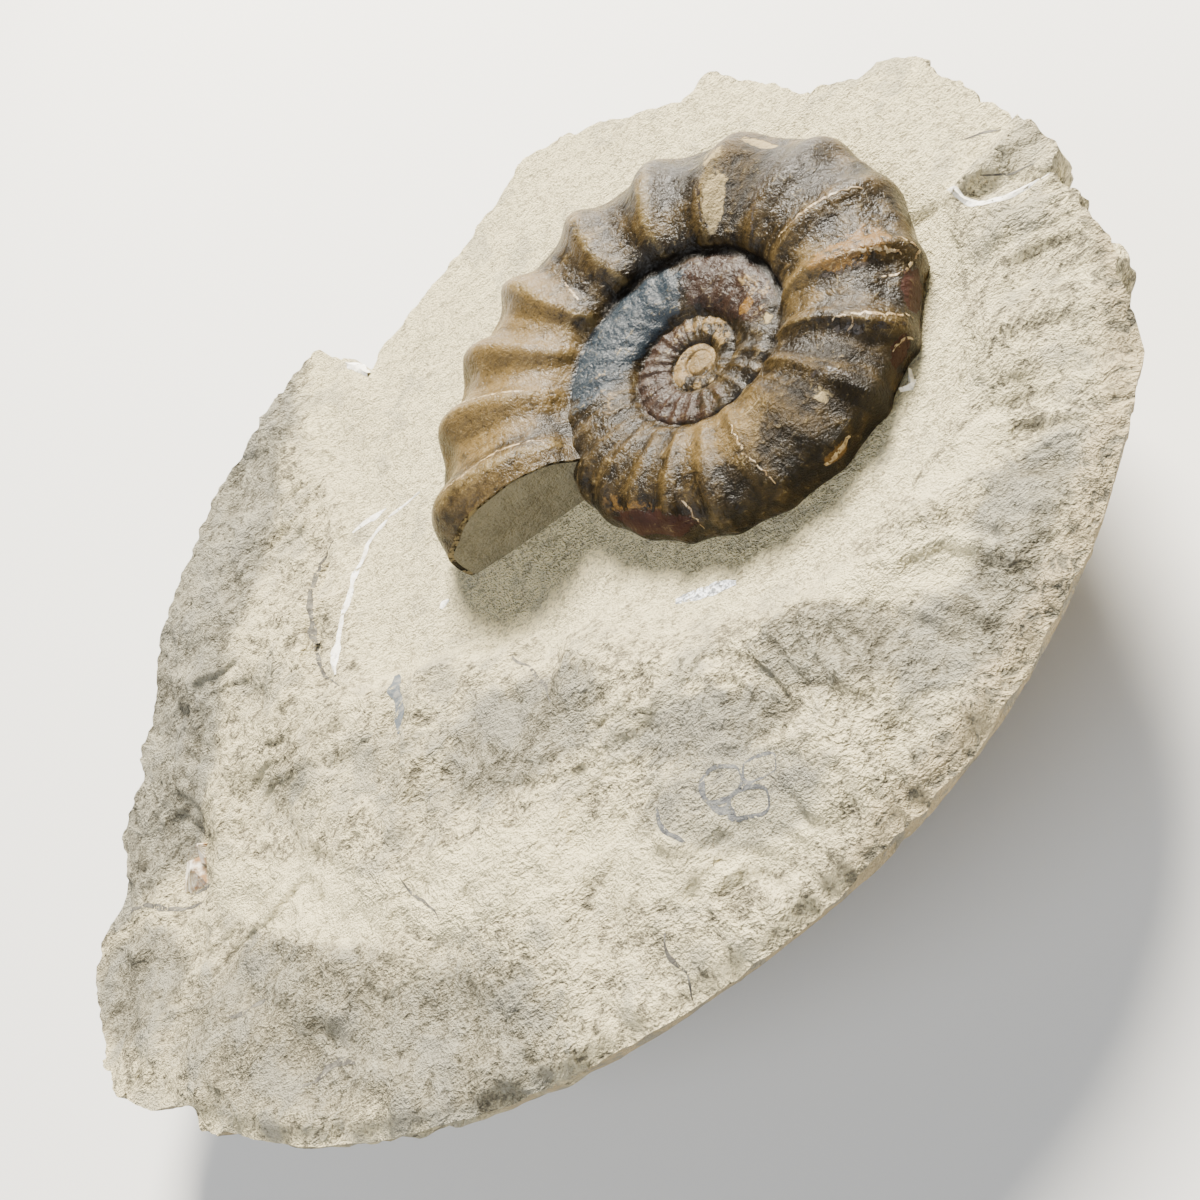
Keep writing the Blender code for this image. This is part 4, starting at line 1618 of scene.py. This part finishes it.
@dataclass(frozen=True)
class Studio:
    """Pale floor, soft lights and the camera, whose eye is in millimetres from the coil's centre."""

    floor_half: float = 3.0
    floor_gap: float = 0.0001
    floor_colour: Colour = (0.72, 0.715, 0.70)
    sky_colour: Colour = (0.75, 0.77, 0.8)
    sky_light: float = 0.24
    eye: tuple[float, float, float] = (0.0, -64.154, 60.719)
    right: tuple[float, float, float] = (0.6953, -0.4316, -0.5747)
    up: tuple[float, float, float] = (0.6925, 0.6162, 0.3751)
    back: tuple[float, float, float] = (0.1923, -0.6588, 0.7273)
    lens: float = 36.36
    lamps: tuple[Lamp, ...] = (
        Lamp("key", (0.34, 0.36, 0.42), 0.24, 30.0, (1.0, 0.94, 0.82)),
        Lamp("fill", (-0.40, -0.20, 0.50), 0.6, 4.5, (0.93, 0.96, 1.0)),
    )

    def floor(self) -> None:
        """Lays a broad pale floor."""
        form = bmesh.new()
        bmesh.ops.create_grid(form, x_segments=1, y_segments=1, size=self.floor_half)
        data = bpy.data.meshes.new("floor")
        form.to_mesh(data)
        form.free()
        data.materials.append(Graph("floor paper").finish(Base_Color=self.floor_colour, Roughness=0.85))
        floor = bpy.data.objects.new("floor", data)
        floor.location.z = -self.floor_gap
        bpy.context.collection.objects.link(floor)

    def camera(self) -> None:
        """Sets the camera at the photograph's angle."""
        data = bpy.data.cameras.new("camera")
        data.sensor_width = 36.0
        data.lens = self.lens
        data.clip_start = 0.005
        data.clip_end = 20.0
        camera = bpy.data.objects.new("camera", data)
        turn = Matrix((self.right, self.up, self.back)).transposed().to_4x4()
        camera.matrix_world = Matrix.Translation((COIL_CENTRE + Vector(self.eye)) * MM) @ turn
        bpy.context.collection.objects.link(camera)
        bpy.context.scene.camera = camera

    def sky(self) -> None:
        """Fills the shadows with an even pale light."""
        world = bpy.data.worlds.new("world")
        world.use_nodes = True
        background = world.node_tree.nodes["Background"]
        background.inputs["Color"].default_value = (*self.sky_colour, 1.0)
        background.inputs["Strength"].default_value = self.sky_light
        bpy.context.scene.world = world

    def build(self) -> None:
        """Sets up the studio."""
        self.floor()
        for lamp in self.lamps:
            lamp.hang()
        self.camera()
        self.sky()


# Markings, in millimetres on the stone and in degrees on the shell

STONE_VEINS = (
    Ribbon("vein_white", ((-14.5, 3.6), (-13.5, 5.4), (-12.6, 6.9), (-10.3, 10.3), (-7.8, 12.6),
                          (-4.7, 13.3), (-1.3, 12.4)), 0.45, 0.05),
    Ribbon("vein_white_end", ((-14.9, 2.4), (-14.4, 3.8), (-13.7, 5.2), (-12.8, 6.8)), 0.75, 0.1, 0.1),
    Ribbon("chalk_spot", ((-4.8, 0.6), (-4.3, 0.8), (-3.8, 0.6)), 0.5, 0.1, 0.0),
    Ribbon("vein_white_branch", ((-8.3, 14.7), (-6.5, 14.9), (-4.7, 14.4)), 0.55, 0.05),
    Ribbon("repair_seam", ((45.8, -12.9), (44.3, -12.4), (43.0, -11.9), (42.0, -11.1), (41.6, -9.8),
                           (41.8, -7.3)), 0.5, 0.1, 0.1),
    Ribbon("repair_seam_wide", ((42.3, -11.4), (41.8, -10.6), (41.6, -9.4), (41.7, -8.6)), 0.6, 0.15, 0.1),
    Ribbon("glue_in_notch", ((-0.5, 32.9), (0.0, 31.4), (0.6, 29.6)), 1.0, 0.3),
    Ribbon("glue_at_shell", ((30.2, -16.0), (30.9, -16.4), (31.6, -15.4)), 0.7, 0.3),
)
STONE_PEARLS = (
    Ribbon("pearl_patch", ((10.4, -15.9), (11.6, -16.5), (12.9, -17.3), (14.3, -18.0)), 1.35, 0.05, 0.4),
)
STONE_BAR = (
    Ribbon("bar_blue", ((-10.6, -1.3), (-10.8, -4.4), (-11.6, -7.9)), 0.95, 0.0, 0.15),
)
STONE_CRACKS = (
    Ribbon("groove_line", ((-10.0, 15.3), (-12.3, 14.6), (-14.0, 11.9), (-15.4, 7.6), (-15.9, 3.4),
                           (-14.8, 0.9)), 0.34, 0.0, 0.08),
    Ribbon("crack_low", ((-16.5, -17.6), (-15.9, -19.2), (-15.2, -20.4), (-14.7, -22.6)), 0.2, 0.0, 0.5),
    Ribbon("crack_rim", ((-1.6, -34.2), (-2.0, -35.6), (-1.9, -36.8), (-2.5, -38.0)), 0.24, 0.0, 0.5),
    Ribbon("line_by_chip", ((-47.0, 5.5), (-44.0, 3.8), (-41.6, 1.5), (-37.8, -0.8)), 0.4, 0.0, 0.4),
    Ribbon("line_under_chip", ((-39.2, 1.4), (-37.6, 0.6), (-35.8, -0.3)), 0.35, 0.0, 0.3),
    Ribbon("crack_far", ((43.2, -9.7), (44.2, -10.5), (45.6, -11.7)), 0.2, 0.0, 0.3),
    Ribbon("crack_far_upper", ((44.9, -4.8), (45.9, -5.7), (46.9, -6.6)), 0.2, 0.0, 0.3),
    Ribbon("burrow_line", ((-1.7, -8.5), (-1.0, -10.6), (-0.5, -12.8), (-0.3, -15.5)), 0.3, 0.0, 0.4),
    Ribbon("step_low_left", ((-34.5, -15.0), (-32.5, -16.4), (-30.6, -16.6)), 0.35, 0.0, 0.5),
    Ribbon("step_low", ((-30.0, -24.2), (-27.8, -24.4), (-25.4, -25.4)), 0.5, 0.0, 0.5),
)
STONE_CELLS = (
    Ribbon("cell_first", oval(6.6, -29.9, 1.25, 0.95, -22.0), 0.36, 0.0, 0.3),
    Ribbon("cell_second", oval(8.9, -30.8, 1.1, 0.8, -28.0), 0.22, 0.0, 0.3),
    Ribbon("cell_third", oval(7.2, -32.1, 1.3, 0.85, -30.0), 0.28, 0.0, 0.3),
    Ribbon("cell_corner", ((5.2, -30.0), (5.5, -31.1), (6.1, -31.4), (6.0, -32.4)), 0.42, 0.0, 0.3),
    Ribbon("cell_chain", ((2.4, -28.0), (2.1, -29.0), (2.2, -30.0), (2.7, -31.2)), 0.42, 0.0, 0.3),
)
# Light strips: those along the rib crests are painted highlights; the chip edges and the scratch are worn
# shell.
SHELL_EDGES = (
    Ribbon("crest_near_mouth", ((-9, 60), (-9, 83), (-12, 94), (-13, 107), (-12, 128), (-7, 142)), 0.22),
    Ribbon("crest_second", ((-36, 62), (-35, 90), (-34, 111), (-33, 132)), 0.2),
    Ribbon("crest_fourth", ((-78, 100), (-76, 116), (-74, 128)), 0.2),
    Ribbon("crest_a", ((-189, 52), (-186, 76), (-184, 90), (-180, 118)), 0.22),
    Ribbon("crest_b", ((-210, 30), (-209, 60), (-208, 87)), 0.25),
    Ribbon("crest_c", ((-225, 6), (-228, 45), (-229, 69), (-230, 83)), 0.25),
    Ribbon("chip_edge", ((-206, 38), (-207, 24), (-208, 11), (-211, 14), (-214, 24), (-216, 49)), 0.22),
    Ribbon("red_chip_edge", ((-230, 4), (-232, 14), (-235, 17)), 0.2),
    Ribbon("scratch", ((-230, 66), (-231.5, 67.5), (-233, 69)), 0.16),
    Ribbon("line_light", ((-278, 104), (-280, 73), (-278, 45), (-278, 28)), 0.18),
    Ribbon("edge_low_left", ((-306, 56), (-303, 35), (-302, 9)), 0.16),
    Ribbon("chip_orange", ((-257, 8), (-261, 8), (-266, 6)), 0.5),
)
# Dark strips: cracks and layer edges of the shell, and painted shadows under the crests of two ribs.
SHELL_CRACKS_AND_SHADOWS = (
    Ribbon("layer_edge", ((-155, 50), (-156, 70), (-157, 87), (-159, 100), (-162, 118), (-166, 132)),
           0.3, 0.0),
    Ribbon("crack_grey_rib", ((-166, 83), (-168.5, 82), (-171, 80)), 0.16, 0.0),
    # Painted shadows under the crests of two ribs.
    Ribbon("painted_shadow_under_crest_c", ((-228, 10), (-231, 45), (-232.5, 69), (-233.5, 90)), 0.55, 0.0),
    Ribbon("painted_shadow_under_crest_b", ((-212, 60), (-212, 80), (-211, 104)), 0.5, 0.0),
    Ribbon("dark_rib", ((-247, 38), (-245, 52), (-246, 69), (-249, 83)), 0.45, 0.0),
    Ribbon("edge_of_patch", ((-134, 92), (-135, 110), (-137, 130)), 0.3, 0.0),
)


STONE_LINES = (
    (Plain("chalk", (0.95, 0.93, 0.88), (0.78, 0.74, 0.62), 0.7, 1.5, 0.2), STONE_VEINS),
    (Plain("crack", (0.060, 0.055, 0.047), (0.14, 0.13, 0.105), 0.9, 1.5, 0.2), STONE_CRACKS),
    (Plain("ink", (0.075, 0.077, 0.082), (0.13, 0.132, 0.125), 0.9, 3.0, 0.2), STONE_CELLS),
    (Plain("slate", (0.075, 0.088, 0.10), (0.19, 0.19, 0.175), 0.9, 1.3, 0.1), STONE_BAR),
    (Plain("nacre", (0.93, 0.95, 0.98), (0.16, 0.17, 0.18), 0.3, 3.4, 0.25), STONE_PEARLS),
)
SHELL_LINES = (
    # Light shell strips: worn chip edges and scratches, and painted highlights along rib crests.
    (Plain("worn edge and crest highlight", (0.46, 0.35, 0.20), (0.24, 0.155, 0.07), 0.4, 2.0, 0.35), SHELL_EDGES),
    # Dark shell strips: cracks and edges, and painted shadows under rib crests.
    (Plain("dark edge", (0.016, 0.010, 0.006), (0.035, 0.022, 0.012), 0.5, 1.5, 0.45), SHELL_CRACKS_AND_SHADOWS),
)
PEARL = Plain("pearl", (0.90, 0.83, 0.70), (0.33, 0.20, 0.10), 0.3, 0.9)


def mark(lines: Sequence[tuple[Plain, Sequence[Ribbon]]], surface: Surface, slot: Slot) -> None:
    """Lays sets of ribbons that share a finish.

    Args:
        lines: The finish and the ribbons of each set.
        surface: Gives the point in space for a place and a lift.
        slot: The record's material slot.
    """
    for finish, ribbons in lines:
        material = finish.build()
        for ribbon in ribbons:
            ribbon.lay(surface, material, slot)


def main() -> None:
    """Builds the scene."""
    logging.basicConfig(level=logging.INFO)
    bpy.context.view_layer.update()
    coil = Coil()
    nodule = Nodule(coil)
    nodule.stone(Limestone().build())
    ammonite = Ammonite(coil)
    _, rim = ammonite.shell(FossilShell().build())
    ammonite.mouth(rim, Sediment().build())
    pearl = PEARL.build()
    CHIP.build(nodule, pearl, "shell_fragment")
    CHIP_SIDE.build(nodule, pearl)
    mark(STONE_LINES, nodule.on_top, Slot.LIMESTONE)
    mark(SHELL_LINES, ammonite.surface, Slot.SHELL)
    Studio().build()


if __name__ == "__main__":
    main()
